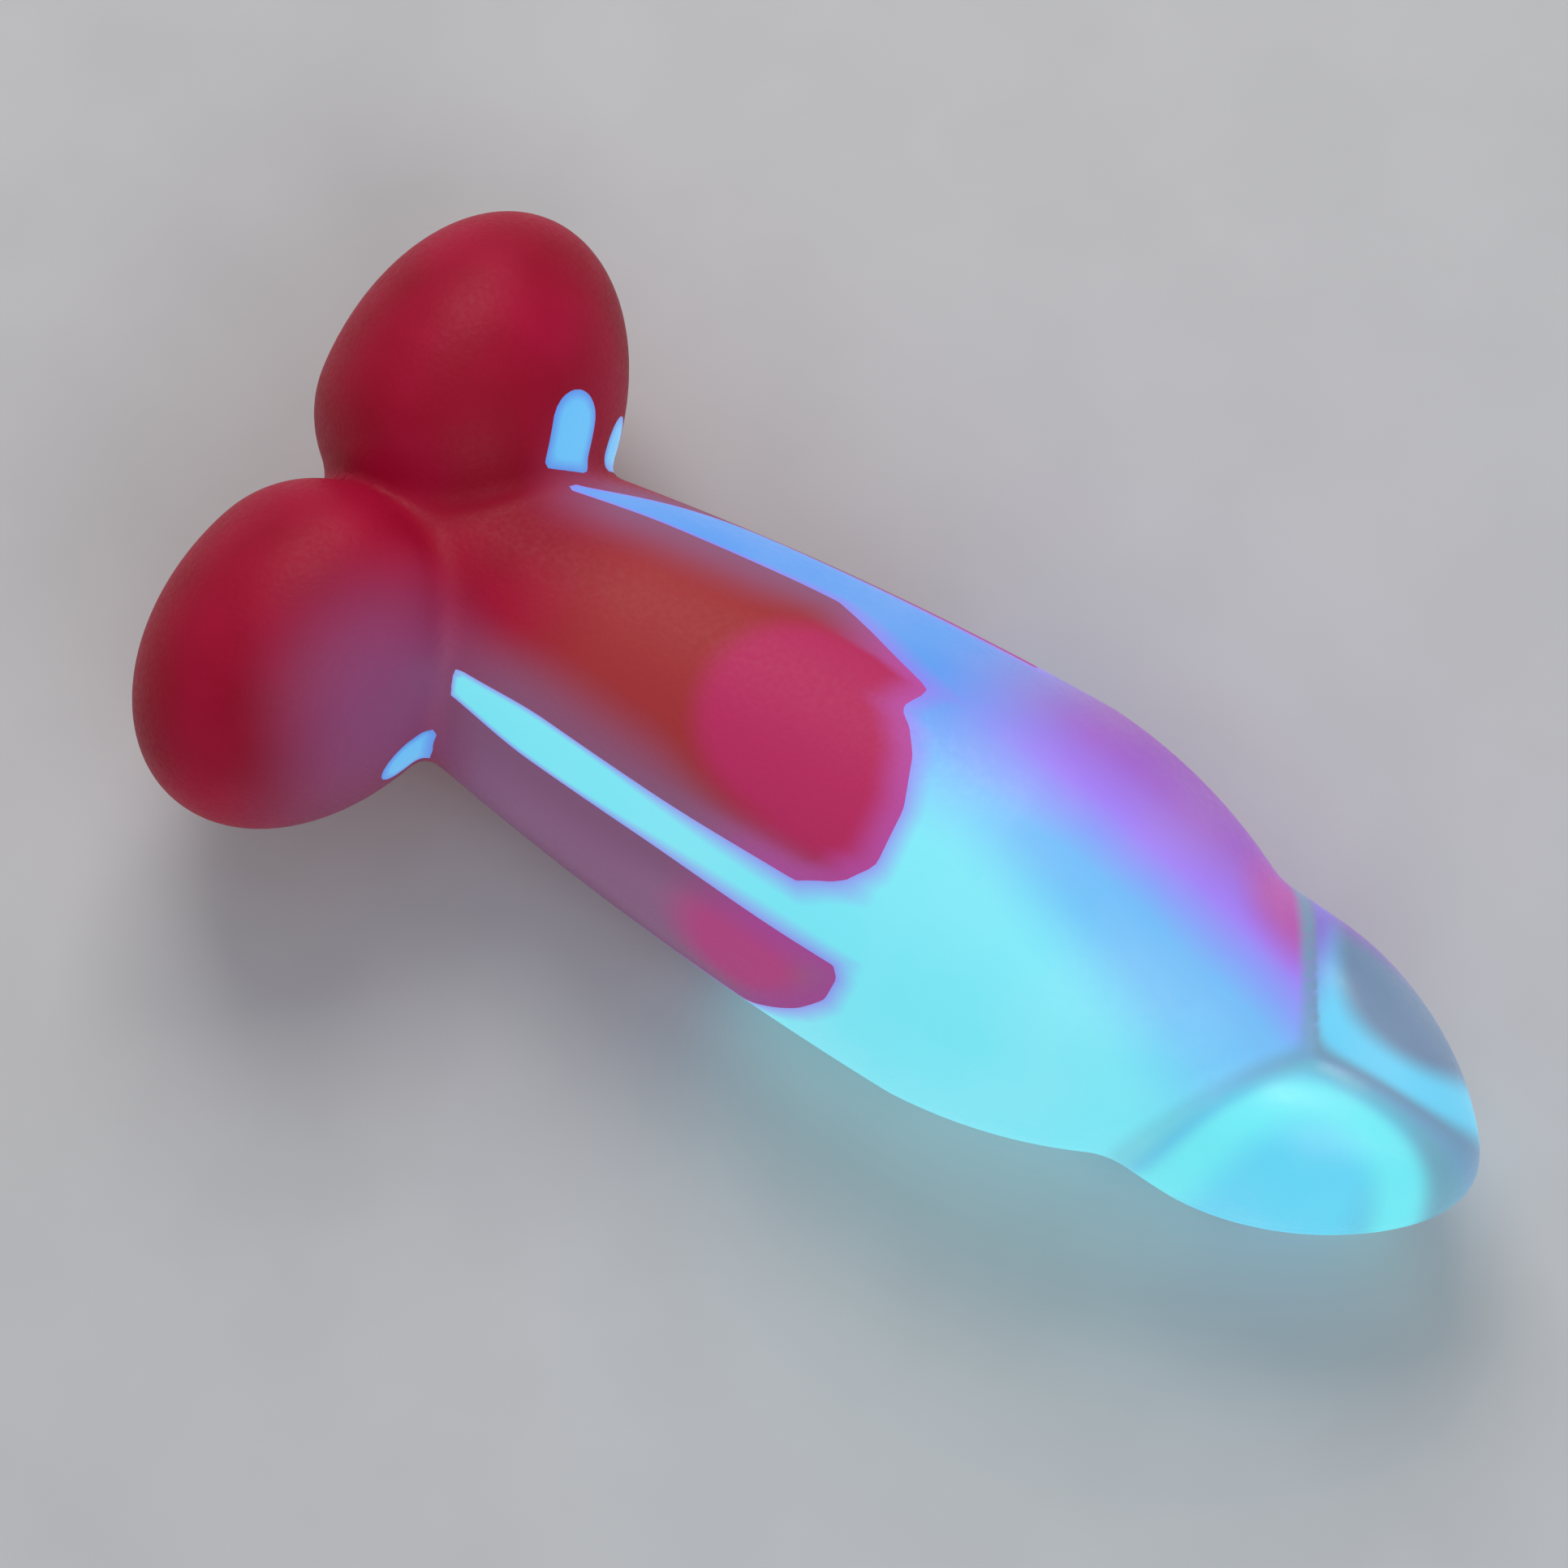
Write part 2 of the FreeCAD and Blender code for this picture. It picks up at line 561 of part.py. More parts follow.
# Slide switches
slider_flange_z = floor_top + SEAT
can_z = slider_flange_z + SLIDER_FLANGE_T + RUN
reach_0 = SLIDER_X - SLIDER_L / 2 - SLIDER_FLANGE - RUN
reach_1 = SLIDER_X + SLIDER_L / 2 + SLIDER_FLANGE + SLIDER_TRAVEL + RUN
cans = []
for name, side in (("tone_slider", 1), ("ringer_slider", -1)):
    y = side * SLIDER_Y
    knob = box(SLIDER_X - SLIDER_L / 2, SLIDER_X + SLIDER_L / 2, y - SLIDER_W / 2, y + SLIDER_W / 2,
               BELLY_Z - SLIDER_PROUD, slider_flange_z)
    plate = box(SLIDER_X - SLIDER_L / 2 - SLIDER_FLANGE, SLIDER_X + SLIDER_L / 2 + SLIDER_FLANGE,
                y - SLIDER_W / 2 - SLIDER_FLANGE, y + SLIDER_W / 2 + SLIDER_FLANGE,
                slider_flange_z, slider_flange_z + SLIDER_FLANGE_T)
    save(name, knob.fuse(plate))
    can = box(reach_0 - CAN_LEG, reach_1 + CAN_LEG, y - CAN_W / 2, y + CAN_W / 2, floor_top, can_z + CAN_H)
    cans.append(can.cut(box(reach_0, reach_1, -FAR, FAR, 0, can_z)))
save("slide_switches", Part.makeCompound(cans))

# Feet
toe = math.radians(NOSE_TOE_IN)
feet = []
for side in (-1, 1):
    feet.append(cyl(LOBE_X, side * (LOBE_Y - LOBE_FOOT_IN), 0, LOBE_FOOT_H, LOBE_FOOT_R))
    foot_x = NOSE_X - NOSE_FOOT_SETBACK * math.cos(toe)
    foot_y = side * (NOSE_Y + NOSE_FOOT_SETBACK * math.sin(toe))
    feet.append(cyl(foot_x, foot_y, 0, BELLY_Z, NOSE_FOOT_R))
save("rubber_feet", Part.makeCompound(feet))
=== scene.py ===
import json
import math

import bmesh
import bpy
import numpy as np
from mathutils import Matrix, Vector


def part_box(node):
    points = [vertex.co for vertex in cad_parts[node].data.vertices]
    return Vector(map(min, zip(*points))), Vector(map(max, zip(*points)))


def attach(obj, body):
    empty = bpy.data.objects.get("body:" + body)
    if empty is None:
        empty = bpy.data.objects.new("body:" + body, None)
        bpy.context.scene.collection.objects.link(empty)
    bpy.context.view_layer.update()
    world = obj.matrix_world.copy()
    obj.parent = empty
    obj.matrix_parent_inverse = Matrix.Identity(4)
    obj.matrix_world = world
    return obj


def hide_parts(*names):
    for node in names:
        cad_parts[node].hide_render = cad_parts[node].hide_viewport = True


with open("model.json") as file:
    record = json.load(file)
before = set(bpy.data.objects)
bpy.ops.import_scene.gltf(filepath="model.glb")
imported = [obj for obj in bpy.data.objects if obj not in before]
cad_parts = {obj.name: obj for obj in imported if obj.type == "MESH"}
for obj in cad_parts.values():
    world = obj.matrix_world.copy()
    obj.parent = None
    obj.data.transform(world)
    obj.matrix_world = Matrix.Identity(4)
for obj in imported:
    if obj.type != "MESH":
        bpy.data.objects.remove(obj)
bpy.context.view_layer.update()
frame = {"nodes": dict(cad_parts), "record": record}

nodes = frame["nodes"]
scene = bpy.context.scene

# Main sizes of the object in millimetres, as in the solids
REAR_X, ROOT_X, BULGE_X, NECK_X, FRONT_X = -98.0, -74.0, 26.0, 62.0, 84.0
ROOT_R, BULGE_R, NECK_R = 23.6, 34.0, 23.8
AXIS_Z, BELLY_Z, PARTING_Z = 26.5, 4.5, 19.5
LOBE_CENTER = np.array([-84.4, 20.5, 32.2])
LOBE_WIDTH, LOBE_OUT, LOBE_IN, LOBE_HEIGHT = 23.5, 34.8, 21.0, 29.0
LOBE_SWEEP = math.radians(8.0)
LOBE_RISE = math.radians(17.0)
LOBE_FOOT_H = 5.0
NOSE_CENTER = np.array([82.8, 9.0, 22.5])
NOSE_SEMI = np.array([27.0, 12.5, 20.5])
NOSE_TOE_IN = math.radians(23.0)
CORE_CENTER = np.array([82.8, 0.0, 19.5])
CORE_SEMI = np.array([24.0, 15.0, 16.5])
JACKET_EDGE_X = -58.0
STRIPE_REAR_X, STRIPE_ANGLE = -62.0, math.radians(47.0)
WINDOW_R, WINDOW_H = 5.0, 12.5
CASE_SCREW_X, CASE_SCREW_Y = 57.0, 8.0
FOOT_SCREW_X, FOOT_SCREW_Y = -84.4, 16.5
MM = 0.001

# Skin: the room and step of its net, its thickness, and how softly its forms run into each other
NET_LOW, NET_HIGH = np.array([-112.0, -56.0, -2.0]), np.array([112.0, 56.0, 64.0])
SKIN_STEP, SKIN_T = 1.3, 2.0
LOBE_BLEND, HUB_BLEND, NOSE_BLEND, CORE_BLEND, NECK_BLEND = 2.5, 3.5, 5.0, 3.0, 5.0
FOOT_ROUND, BELLY_ROUND = 1.0, 2.5
PARTING_GROOVE_DEPTH, PARTING_GROOVE_HALF = 0.22, 0.35
CREASE_ANGLE = math.radians(40)


# Outer skin as one smooth field: negative inside, in millimetres
def arc_circle(a, b, c):
    """Centre, radius and first and last angle of the arc that runs clockwise through three points."""
    ax, ay, bx, by, cx, cy = *a, *b, *c
    d = 2 * (ax * (by - cy) + bx * (cy - ay) + cx * (ay - by))
    aa, bb, cc = ax**2 + ay**2, bx**2 + by**2, cx**2 + cy**2
    ux = (aa * (by - cy) + bb * (cy - ay) + cc * (ay - by)) / d
    uy = (aa * (cx - bx) + bb * (ax - cx) + cc * (bx - ax)) / d
    start = math.atan2(ay - uy, ax - ux)
    stop = math.atan2(cy - uy, cx - ux)
    if stop > start:
        stop -= 2 * math.pi
    return ux, uy, math.hypot(ax - ux, ay - uy), start, stop


def barrel_arcs():
    """The body's outline, rear to front: four arcs, each through its ends and a point between."""
    rear_mid = (REAR_X + 0.23 * (ROOT_X - REAR_X), 0.65 * ROOT_R)
    swell_mid = ((ROOT_X + BULGE_X) / 2, ROOT_R + 0.72 * (BULGE_R - ROOT_R))
    taper_mid = (BULGE_X + 0.556 * (NECK_X - BULGE_X), BULGE_R - 0.347 * (BULGE_R - NECK_R))
    front_mid = (NECK_X + 0.7 * (FRONT_X - NECK_X), 0.56 * NECK_R)
    root, bulge, neck = (ROOT_X, ROOT_R), (BULGE_X, BULGE_R), (NECK_X, NECK_R)
    return [arc_circle((REAR_X, 0), rear_mid, root), arc_circle(root, swell_mid, bulge),
            arc_circle(bulge, taper_mid, neck), arc_circle(neck, front_mid, (FRONT_X, 0))]


TABLE_X0, TABLE_X1, TABLE_R1, TABLE_STEP = -122.0, 122.0, 92.0, 0.5


def barrel_table():
    """Distance to the body's outline over a grid of lengths and radii, negative inside."""
    xs = np.arange(TABLE_X0, TABLE_X1 + 0.01, TABLE_STEP)
    rs = np.arange(0.0, TABLE_R1 + 0.01, TABLE_STEP)
    gx, gr = np.meshgrid(xs, rs, indexing="ij")
    best = np.full(gx.shape, 1e9)
    line = []
    for ux, uy, r, start, stop in barrel_arcs():
        turn = (start - np.arctan2(gr - uy, gx - ux)) % (2 * math.pi)
        gap = np.abs(np.hypot(gx - ux, gr - uy) - r)
        t = np.linspace(start, stop, 400)
        arc = np.stack([ux + r * np.cos(t), uy + r * np.sin(t)], 1)
        ends = np.minimum(*[np.hypot(gx - x, gr - y) for x, y in arc[[0, -1]]])
        best = np.minimum(best, np.where(turn <= start - stop, gap, ends))
        line.append(arc)
    line = np.concatenate(line)
    order = np.argsort(line[:, 0])
    reach = np.interp(xs, line[order, 0], line[order, 1], left=0.0, right=0.0)
    return np.where(gr < reach[:, None], -best, best)


BARREL = barrel_table()


def barrel_field(p):
    rho = np.hypot(p[:, 1], p[:, 2] - AXIS_Z)
    u = np.clip((p[:, 0] - TABLE_X0) / TABLE_STEP, 0, BARREL.shape[0] - 1.001)
    v = np.clip(rho / TABLE_STEP, 0, BARREL.shape[1] - 1.001)
    i, j = u.astype(int), v.astype(int)
    a, b = u - i, v - j
    low = BARREL[i, j] * (1 - b) + BARREL[i, j + 1] * b
    high = BARREL[i + 1, j] * (1 - b) + BARREL[i + 1, j + 1] * b
    return low * (1 - a) + high * a


def turned(q, angle):
    """Points in the axes of a form that is turned about the upright axis."""
    c, s = math.cos(angle), math.sin(angle)
    return np.stack([q[:, 0] * c + q[:, 1] * s, -q[:, 0] * s + q[:, 1] * c, q[:, 2]], 1)


def egg_gap(q, semi):
    k0 = np.linalg.norm(q / semi, axis=1)
    k1 = np.linalg.norm(q / semi**2, axis=1) + 1e-9
    return k0 * (k0 - 1.0) / k1


def egg_field(p, center, semi, yaw):
    return egg_gap(turned(p - center, yaw), semi)


def lobe_field(p, side):
    q = turned(p * np.array([1.0, side, 1.0]) - LOBE_CENTER, LOBE_SWEEP)
    c, s = math.cos(LOBE_RISE), math.sin(LOBE_RISE)
    q = np.stack([q[:, 0], q[:, 1] * c + q[:, 2] * s, -q[:, 1] * s + q[:, 2] * c], 1)
    length = np.where(q[:, 1] > 0, LOBE_OUT, LOBE_IN)
    semi = np.stack([np.full(len(p), LOBE_WIDTH), length, np.full(len(p), LOBE_HEIGHT)], 1)
    return egg_gap(q, semi)


def soft_min(a, b, k):
    h = np.maximum(k - np.abs(a - b), 0.0) / k
    return np.minimum(a, b) - h * h * k / 4


def soft_max(a, b, k):
    return -soft_min(-a, -b, k)


def ramp(x, a, b):
    t = np.clip((x - a) / (b - a), 0, 1)
    return t * t * (3 - 2 * t)


def nose_egg(p, side):
    return egg_field(p, NOSE_CENTER * (1, side, 1), NOSE_SEMI, -side * NOSE_TOE_IN)


def skin_field(p):
    lobe = soft_min(lobe_field(p, 1), lobe_field(p, -1), LOBE_BLEND)
    lobe = soft_max(lobe, LOBE_FOOT_H - p[:, 2], FOOT_ROUND)
    nose = soft_min(nose_egg(p, 1), nose_egg(p, -1), NOSE_BLEND)
    nose = soft_min(nose, egg_field(p, CORE_CENTER, CORE_SEMI, 0.0), CORE_BLEND)
    body = soft_min(barrel_field(p), nose, NECK_BLEND)
    body = soft_max(body, BELLY_Z - p[:, 2], BELLY_ROUND)
    return soft_min(body, lobe, HUB_BLEND)


# Creases of the nose: where they begin, and the distance that stands for none
NOSE_REAR_X, NO_CREASE = 50.0, 30.0


def groove_field(p):
    """Soft distance to the nose's creases, its valley and the notch behind it, in millimetres."""
    left, right, barrel = nose_egg(p, -1), nose_egg(p, 1), barrel_field(p)
    nose = np.minimum(left, right)
    narrow = 0.45 + 0.55 * ramp(p[:, 0], 68.0, 98.0)
    valley = narrow * np.abs(left - right) + 1.6 * np.maximum(nose - barrel, 0.0) + 0.01
    notch = (1.5 + 0.5 * ramp(p[:, 1], -6.0, 8.0)) * np.abs(barrel - nose) + 0.01
    nearest = valley * notch / (valley**1.5 + notch**1.5) ** (2 / 3)
    return np.where(p[:, 0] > NOSE_REAR_X, nearest, NO_CREASE)


def skin_slope(p, step=0.05):
    out = np.zeros_like(p)
    for axis in range(3):
        shift = np.zeros(3)
        shift[axis] = step
        out[:, axis] = (skin_field(p + shift) - skin_field(p - shift)) / (2 * step)
    return out


def settle(p, rounds):
    """Moves points along the slope until they lie on the skin."""
    for _ in range(rounds):
        g = skin_slope(p)
        p = p - g * (skin_field(p) / np.maximum((g * g).sum(1), 1e-6))[:, None]
    return p


# Front edge of the top tongue by y, and of the side tongues by height over the axis
TOP_EDGE_Y = (-26.0, -20.0, -18.2, -14.0, -5.0, 3.0, 7.0, 8.8, 10.4, 13.9, 16.0, 19.0, 23.0)
TOP_EDGE_X = (-8.0, 3.5, 8.0, 11.5, 10.8, 7.5, 4.4, 1.9, 2.4, 4.0, -2.5, -10.8, -24.0)
SIDE_EDGE_Z = (-24.0, -14.0, -7.0, 0.0, 7.0, 13.0, 18.0, 21.0, 24.0)
SIDE_EDGE_X = (-10.0, -5.0, -1.0, 4.0, 9.5, 13.2, 13.8, 11.0, 4.0)
EDGE_SOFT, EDGE_REACH = 0.8, 1.2

# The stripes stay clear of the lobes and above the sides; the light line runs along the parting on both sides
STRIPE_LOBE_GAP, STRIPE_LOW = 2.2, 3.0
LIGHT_LINE_REAR_X, LIGHT_LINE_HALF, LIGHT_LINE_IN_Y = -52.0, 0.8, 12.0


def edge_line(t, ts, xs):
    """Place of a tongue's front edge, softened, and how steeply it runs."""
    shifts = np.linspace(-EDGE_SOFT, EDGE_SOFT, 7)
    place = np.mean([np.interp(t + d, ts, xs) for d in shifts], axis=0)
    slope = (np.interp(t + EDGE_REACH, ts, xs) - np.interp(t - EDGE_REACH, ts, xs)) / (2 * EDGE_REACH)
    return place, np.sqrt(1 + slope**2)


def jacket_field(p):
    """Red jacket: negative inside it, in millimetres."""
    x, y, z = p[:, 0], p[:, 1], p[:, 2] - AXIS_Z
    top_x, top_steep = edge_line(y, TOP_EDGE_Y, TOP_EDGE_X)
    side_x, side_steep = edge_line(z, SIDE_EDGE_Z, SIDE_EDGE_X)
    over = np.abs(y) < z * math.tan(STRIPE_ANGLE)
    zone = np.where(over, (x - top_x) / top_steep, (x - side_x) / side_steep)
    zone = np.minimum(zone, x - JACKET_EDGE_X)
    lobes = np.minimum(lobe_field(p, 1), lobe_field(p, -1))
    near_half = 2.2 + 1.6 * ramp(x, -64.0, -44.0) + 0.8 * ramp(x, -25.0, 6.0)
    far_in = -4.6 + 1.2 * ramp(x, -66.0, -45.0) - 1.2 * ramp(x, -25.0, 6.0)
    far_out = -3.8 + 14.0 * ramp(x, -68.0, -32.0)
    for sign, low, high in ((-1, -near_half, near_half), (1, far_in, far_out)):
        along = sign * y * math.sin(STRIPE_ANGLE) + z * math.cos(STRIPE_ANGLE)
        across = sign * y * math.cos(STRIPE_ANGLE) - z * math.sin(STRIPE_ANGLE)
        half = (high - low) / 2
        stripe = np.hypot(np.minimum(x - STRIPE_REAR_X - half, 0), across - (low + high) / 2) - half
        stripe = np.maximum(stripe, STRIPE_LOBE_GAP - lobes)
        zone = np.where(along > STRIPE_LOW, np.maximum(zone, -stripe), zone)
    line = np.hypot(np.minimum(x - LIGHT_LINE_REAR_X, 0), p[:, 2] - PARTING_Z) - LIGHT_LINE_HALF
    return np.where(np.abs(y) > LIGHT_LINE_IN_Y, np.maximum(zone, -line), zone)


# Side, outward direction and upright direction of each window
WINDOWS = [(1, (0.73, 0.12, 0.66), (-0.4, 0.8, 0.3)), (1, (0.95, 0.32, 0.06), (-0.4, 0.8, 0.3)),
           (-1, (0.95, -0.36, 0.0), (-0.4, -0.8, 0.3))]
WINDOW_SILL_ROUND, WINDOW_DEPTH, WINDOW_BODY_GAP, NO_WINDOW = 1.5, 3.0, 0.6, 1e3


def window_field(p):
    """Arched lobe windows: negative inside one, in millimetres."""
    best = np.full(len(p), NO_WINDOW)
    top = WINDOW_H / 2 - WINDOW_R
    for side, direction, upright in WINDOWS:
        d = Vector(direction).normalized()
        across = d.cross(Vector(upright)).normalized()
        q = (p - LOBE_CENTER * (1, side, 1)) @ np.array([across.cross(d), across, d]).T
        arch = np.hypot(np.maximum(q[:, 0] - top, 0), q[:, 1]) - WINDOW_R
        arch = soft_max(arch, -WINDOW_H / 2 - q[:, 0], WINDOW_SILL_ROUND)
        arch = np.maximum(arch, np.abs(lobe_field(p, side)) - WINDOW_DEPTH)
        arch = np.maximum(arch, WINDOW_BODY_GAP - barrel_field(p))
        best = np.minimum(best, np.where(q[:, 2] > 0, arch, NO_WINDOW))
    return best


def parting_field(p):
    return p[:, 2] - PARTING_Z


# Making of the meshes
def surface_net():
    """Net of quads over the zero level of the skin's field."""
    n = np.ceil((NET_HIGH - NET_LOW) / SKIN_STEP).astype(int) + 1
    axes = [NET_LOW[i] + SKIN_STEP * np.arange(n[i]) for i in range(3)]
    grid = np.stack(np.meshgrid(*axes, indexing="ij"), -1).reshape(-1, 3)
    value = np.concatenate([skin_field(c) for c in np.array_split(grid, 12)]).reshape(n)
    inside = value < 0
    total = np.zeros(n - 1)
    point = np.zeros((*(n - 1), 3))
    corner = [(i, j, k) for i in (0, 1) for j in (0, 1) for k in (0, 1)]

    def at(arr, c):
        return arr[c[0]:n[0] - 1 + c[0], c[1]:n[1] - 1 + c[1], c[2]:n[2] - 1 + c[2]]

    for a in corner:
        for axis in range(3):
            if a[axis]:
                continue
            b = tuple(v + (1 if i == axis else 0) for i, v in enumerate(a))
            va, vb = at(value, a), at(value, b)
            cross = at(inside, a) != at(inside, b)
            t = np.where(cross, va / np.where(va == vb, 1, va - vb), 0)
            spot = np.zeros((*(n - 1), 3))
            for i in range(3):
                spot[..., i] = a[i] + (t if i == axis else 0)
            point += np.where(cross[..., None], spot, 0)
            total += cross
    busy = total > 0
    index = np.full(busy.shape, -1)
    index[busy] = np.arange(busy.sum())
    cell = np.argwhere(busy)
    verts = NET_LOW + SKIN_STEP * (cell + point[busy] / total[busy][:, None])
    quads = []
    for axis in range(3):
        u, v = (axis + 1) % 3, (axis + 2) % 3
        head = [slice(1, -1)] * 3
        head[axis] = slice(0, n[axis] - 1)
        tail = list(head)
        tail[axis] = slice(1, n[axis])
        here, there = inside[tuple(head)], inside[tuple(tail)]
        for flip in (False, True):
            spots = np.argwhere((here & ~there) if not flip else (~here & there))
            base = spots.copy()
            base[:, u] += 1
            base[:, v] += 1
            loop = []
            for du, dv in ((0, 0), (-1, 0), (-1, -1), (0, -1)):
                c = base.copy()
                c[:, u] += du
                c[:, v] += dv
                loop.append(index[c[:, 0], c[:, 1], c[:, 2]])
            loop = np.stack(loop, 1)
            quads.append(loop[:, ::-1] if flip else loop)
    return verts, np.concatenate(quads)


ON_LINE = 0.02


def split_along(verts, tris, field):
    """Cuts the triangles along the zero line of a field and returns the new net."""
    value = field(verts)
    value = np.where(np.abs(value) < ON_LINE, ON_LINE, value)
    neg = value[tris] < 0
    count = neg.sum(1)
    keep = tris[(count == 0) | (count == 3)]
    cut = tris[(count == 1) | (count == 2)]
    lone = np.where((value[cut] < 0).sum(1)[:, None] == 1, value[cut] < 0, value[cut] >= 0)
    first = lone.argmax(1)
    rows = np.arange(len(cut))
    a, b, c = cut[rows, first], cut[rows, (first + 1) % 3], cut[rows, (first + 2) % 3]
    edges = np.concatenate([np.sort(np.stack([a, b], 1), 1), np.sort(np.stack([a, c], 1), 1)])
    unique, back = np.unique(edges, axis=0, return_inverse=True)
    back = back.reshape(-1)
    va, vb = value[unique[:, 0]], value[unique[:, 1]]
    t = (va / (va - vb))[:, None]
    fresh = verts[unique[:, 0]] * (1 - t) + verts[unique[:, 1]] * t
    ab = len(verts) + back[:len(cut)]
    ac = len(verts) + back[len(cut):]
    new = np.concatenate([np.stack(corners, 1) for corners in ([a, ab, ac], [ab, b, c], [ab, c, ac])])
    return np.concatenate([verts, fresh]), np.concatenate([keep, new])


def within(field, verts, tris):
    """True for each triangle on a field's negative side, told by its vertex furthest from the line."""
    value = field(verts)[tris]
    return value[np.arange(len(tris)), np.abs(value).argmax(1)] < 0


def thick_piece(name, verts, tris, materials):
    """One closed piece: the outer net, the same net moved inwards and the rim between them."""
    used, flat = np.unique(tris, return_inverse=True)
    tris = flat.reshape(-1, 3)
    outer = verts[used]
    slope = skin_slope(outer)
    normal = slope / np.linalg.norm(slope, axis=1)[:, None]
    inner = outer - normal * SKIN_T
    n = len(outer)
    sides = np.concatenate([tris[:, [0, 1]], tris[:, [1, 2]], tris[:, [2, 0]]])
    key = np.sort(sides, 1)
    _, first, times = np.unique(key, axis=0, return_index=True, return_counts=True)
    rim = sides[first[times == 1]]
    faces = [list(f) for f in tris] + [[f[2] + n, f[1] + n, f[0] + n] for f in tris]
    faces += [[b, a, a + n, b + n] for a, b in rim]
    hidden = np.ones(len(faces), dtype=np.int32)
    hidden[:len(tris)] = 0
    return mesh_piece(name, np.concatenate([outer, inner]), faces, materials, hidden)


def mesh_piece(name, verts, faces, materials, slots=None):
    mesh = bpy.data.meshes.new(name)
    mesh.from_pydata(np.asarray(verts) * MM, [], faces)
    for m in materials:
        mesh.materials.append(m)
    if slots is not None:
        mesh.polygons.foreach_set("material_index", slots)
    mesh.update()
    obj = bpy.data.objects.new(name, mesh)
    scene.collection.objects.link(obj)
    return obj


def ring(x, y, r, count=32):
    t = [2 * math.pi * i / count for i in range(count)]
    return [(x + r * math.cos(a), y + r * math.sin(a)) for a in t]


def soft_rectangle(x0, x1, y0, y1, r, count=10):
    out = []
    left, right, near, far = x0 + r, x1 - r, y0 + r, y1 - r
    for cx, cy, start in ((right, far, 0.0), (left, far, 0.5), (left, near, 1.0), (right, near, 1.5)):
        for i in range(count + 1):
            a = math.pi * (start + 0.5 * i / count)
            out.append((cx + r * math.cos(a), cy + r * math.sin(a)))
    return out


def band(base, n):
    """Quads between a ring of n vertices and the ring that follows it."""
    return [[base + i, base + (i + 1) % n, base + n + (i + 1) % n, base + n + i] for i in range(n)]


def underside_cutter(name, outlines, material):
    """Upright prisms, one for each outline and its two heights, as one mesh."""
    verts, faces = [], []
    for line, low, high in outlines:
        n, base = len(line), len(verts)
        verts += [(x, y, low) for x, y in line] + [(x, y, high) for x, y in line]
        faces.append([base + i for i in reversed(range(n))])
        faces.append([base + n + i for i in range(n)])
        faces += band(base, n)
    return mesh_piece(name, verts, faces, [material])


WELD = 2e-6


def open_up(obj, cutter):
    """Cuts the cutter out of a piece and clears away the slivers that this leaves."""
    cut = obj.modifiers.new("openings", "BOOLEAN")
    cut.solver = "EXACT"
    cut.material_mode = "TRANSFER"
    cut.object = cutter
    ready = obj.evaluated_get(bpy.context.evaluated_depsgraph_get())
    mesh = bpy.data.meshes.new_from_object(ready)
    obj.modifiers.clear()
    obj.data = mesh
    tidy = bmesh.new()
    tidy.from_mesh(mesh)
    bmesh.ops.remove_doubles(tidy, verts=tidy.verts[:], dist=WELD)
    bmesh.ops.dissolve_degenerate(tidy, dist=WELD, edges=tidy.edges[:])
    tidy.to_mesh(mesh)
    tidy.free()


def soft_shading(mesh):
    mesh.polygons.foreach_set("use_smooth", np.ones(len(mesh.polygons), dtype=bool))
    mesh.update()
    mesh.set_sharp_from_angle(angle=CREASE_ANGLE)


def finish_skin(obj, edge_of):
    """Stores what the finishes read: distances to edge and creases, and how far each nose lobe stands out."""
    mesh = obj.data
    co = np.empty(len(mesh.vertices) * 3)
    mesh.vertices.foreach_get("co", co)
    p = co.reshape(-1, 3) / MM
    body = barrel_field(p)
    far, near = nose_egg(p, 1), nose_egg(p, -1)
    for label, value in (
        ("edge", edge_of(p)),
        ("groove", groove_field(p)),
        ("far_nose", np.minimum(body, near) - far),
        ("near_nose", np.minimum(body, far) - near),
    ):
        layer = mesh.attributes.new(label, "FLOAT", "POINT")
        layer.data.foreach_set("value", value.astype(np.float32))
    soft_shading(mesh)


# Colours as screen values, set by comparing renders with the photo
def lin(r, g, b):
    out = []
    for c in (r, g, b):
        c /= 255.0
        out.append(c / 12.92 if c <= 0.04045 else ((c + 0.055) / 1.055) ** 2.4)
    return (*out, 1.0)


# Glow of the body, from the near side to the far one
CYAN = lin(122, 240, 255)
AQUA = lin(108, 218, 255)
AZURE = lin(112, 203, 255)
SKY = lin(112, 192, 255)
PERIWINKLE = lin(136, 164, 255)
VIOLET = lin(165, 128, 252)
MAGENTA = lin(162, 92, 206)
PLUM = lin(148, 74, 176)
FAR_STRIPE = lin(88, 160, 246)
FAR_SHOULDER = lin(186, 82, 176)
EDGE_VIOLET = lin(150, 122, 246)
WHITE = lin(255, 255, 255)
UNLIT = lin(40, 46, 52)

# Glow of the nose, with light and shade painted in: a painted highlight on the crests beside the creases,
# painted shade on the far lobe's top and outer side, and painted shade in the creases
FAR_LOBE_TOP, FAR_LOBE_SIDE = lin(108, 136, 170), lin(140, 96, 186)
FAR_RIM_FRONT, FAR_RIM_REAR = lin(104, 216, 255), lin(134, 116, 214)
NEAR_LOBE, NEAR_LOBE_TIP, NEAR_RIM = lin(100, 222, 255), lin(108, 176, 200), lin(112, 244, 255)
FOLD_SHADE = lin(102, 160, 184)

# Glow of the windows
WINDOW_EDGE, WINDOW_CORE = lin(96, 140, 236), lin(104, 196, 255)
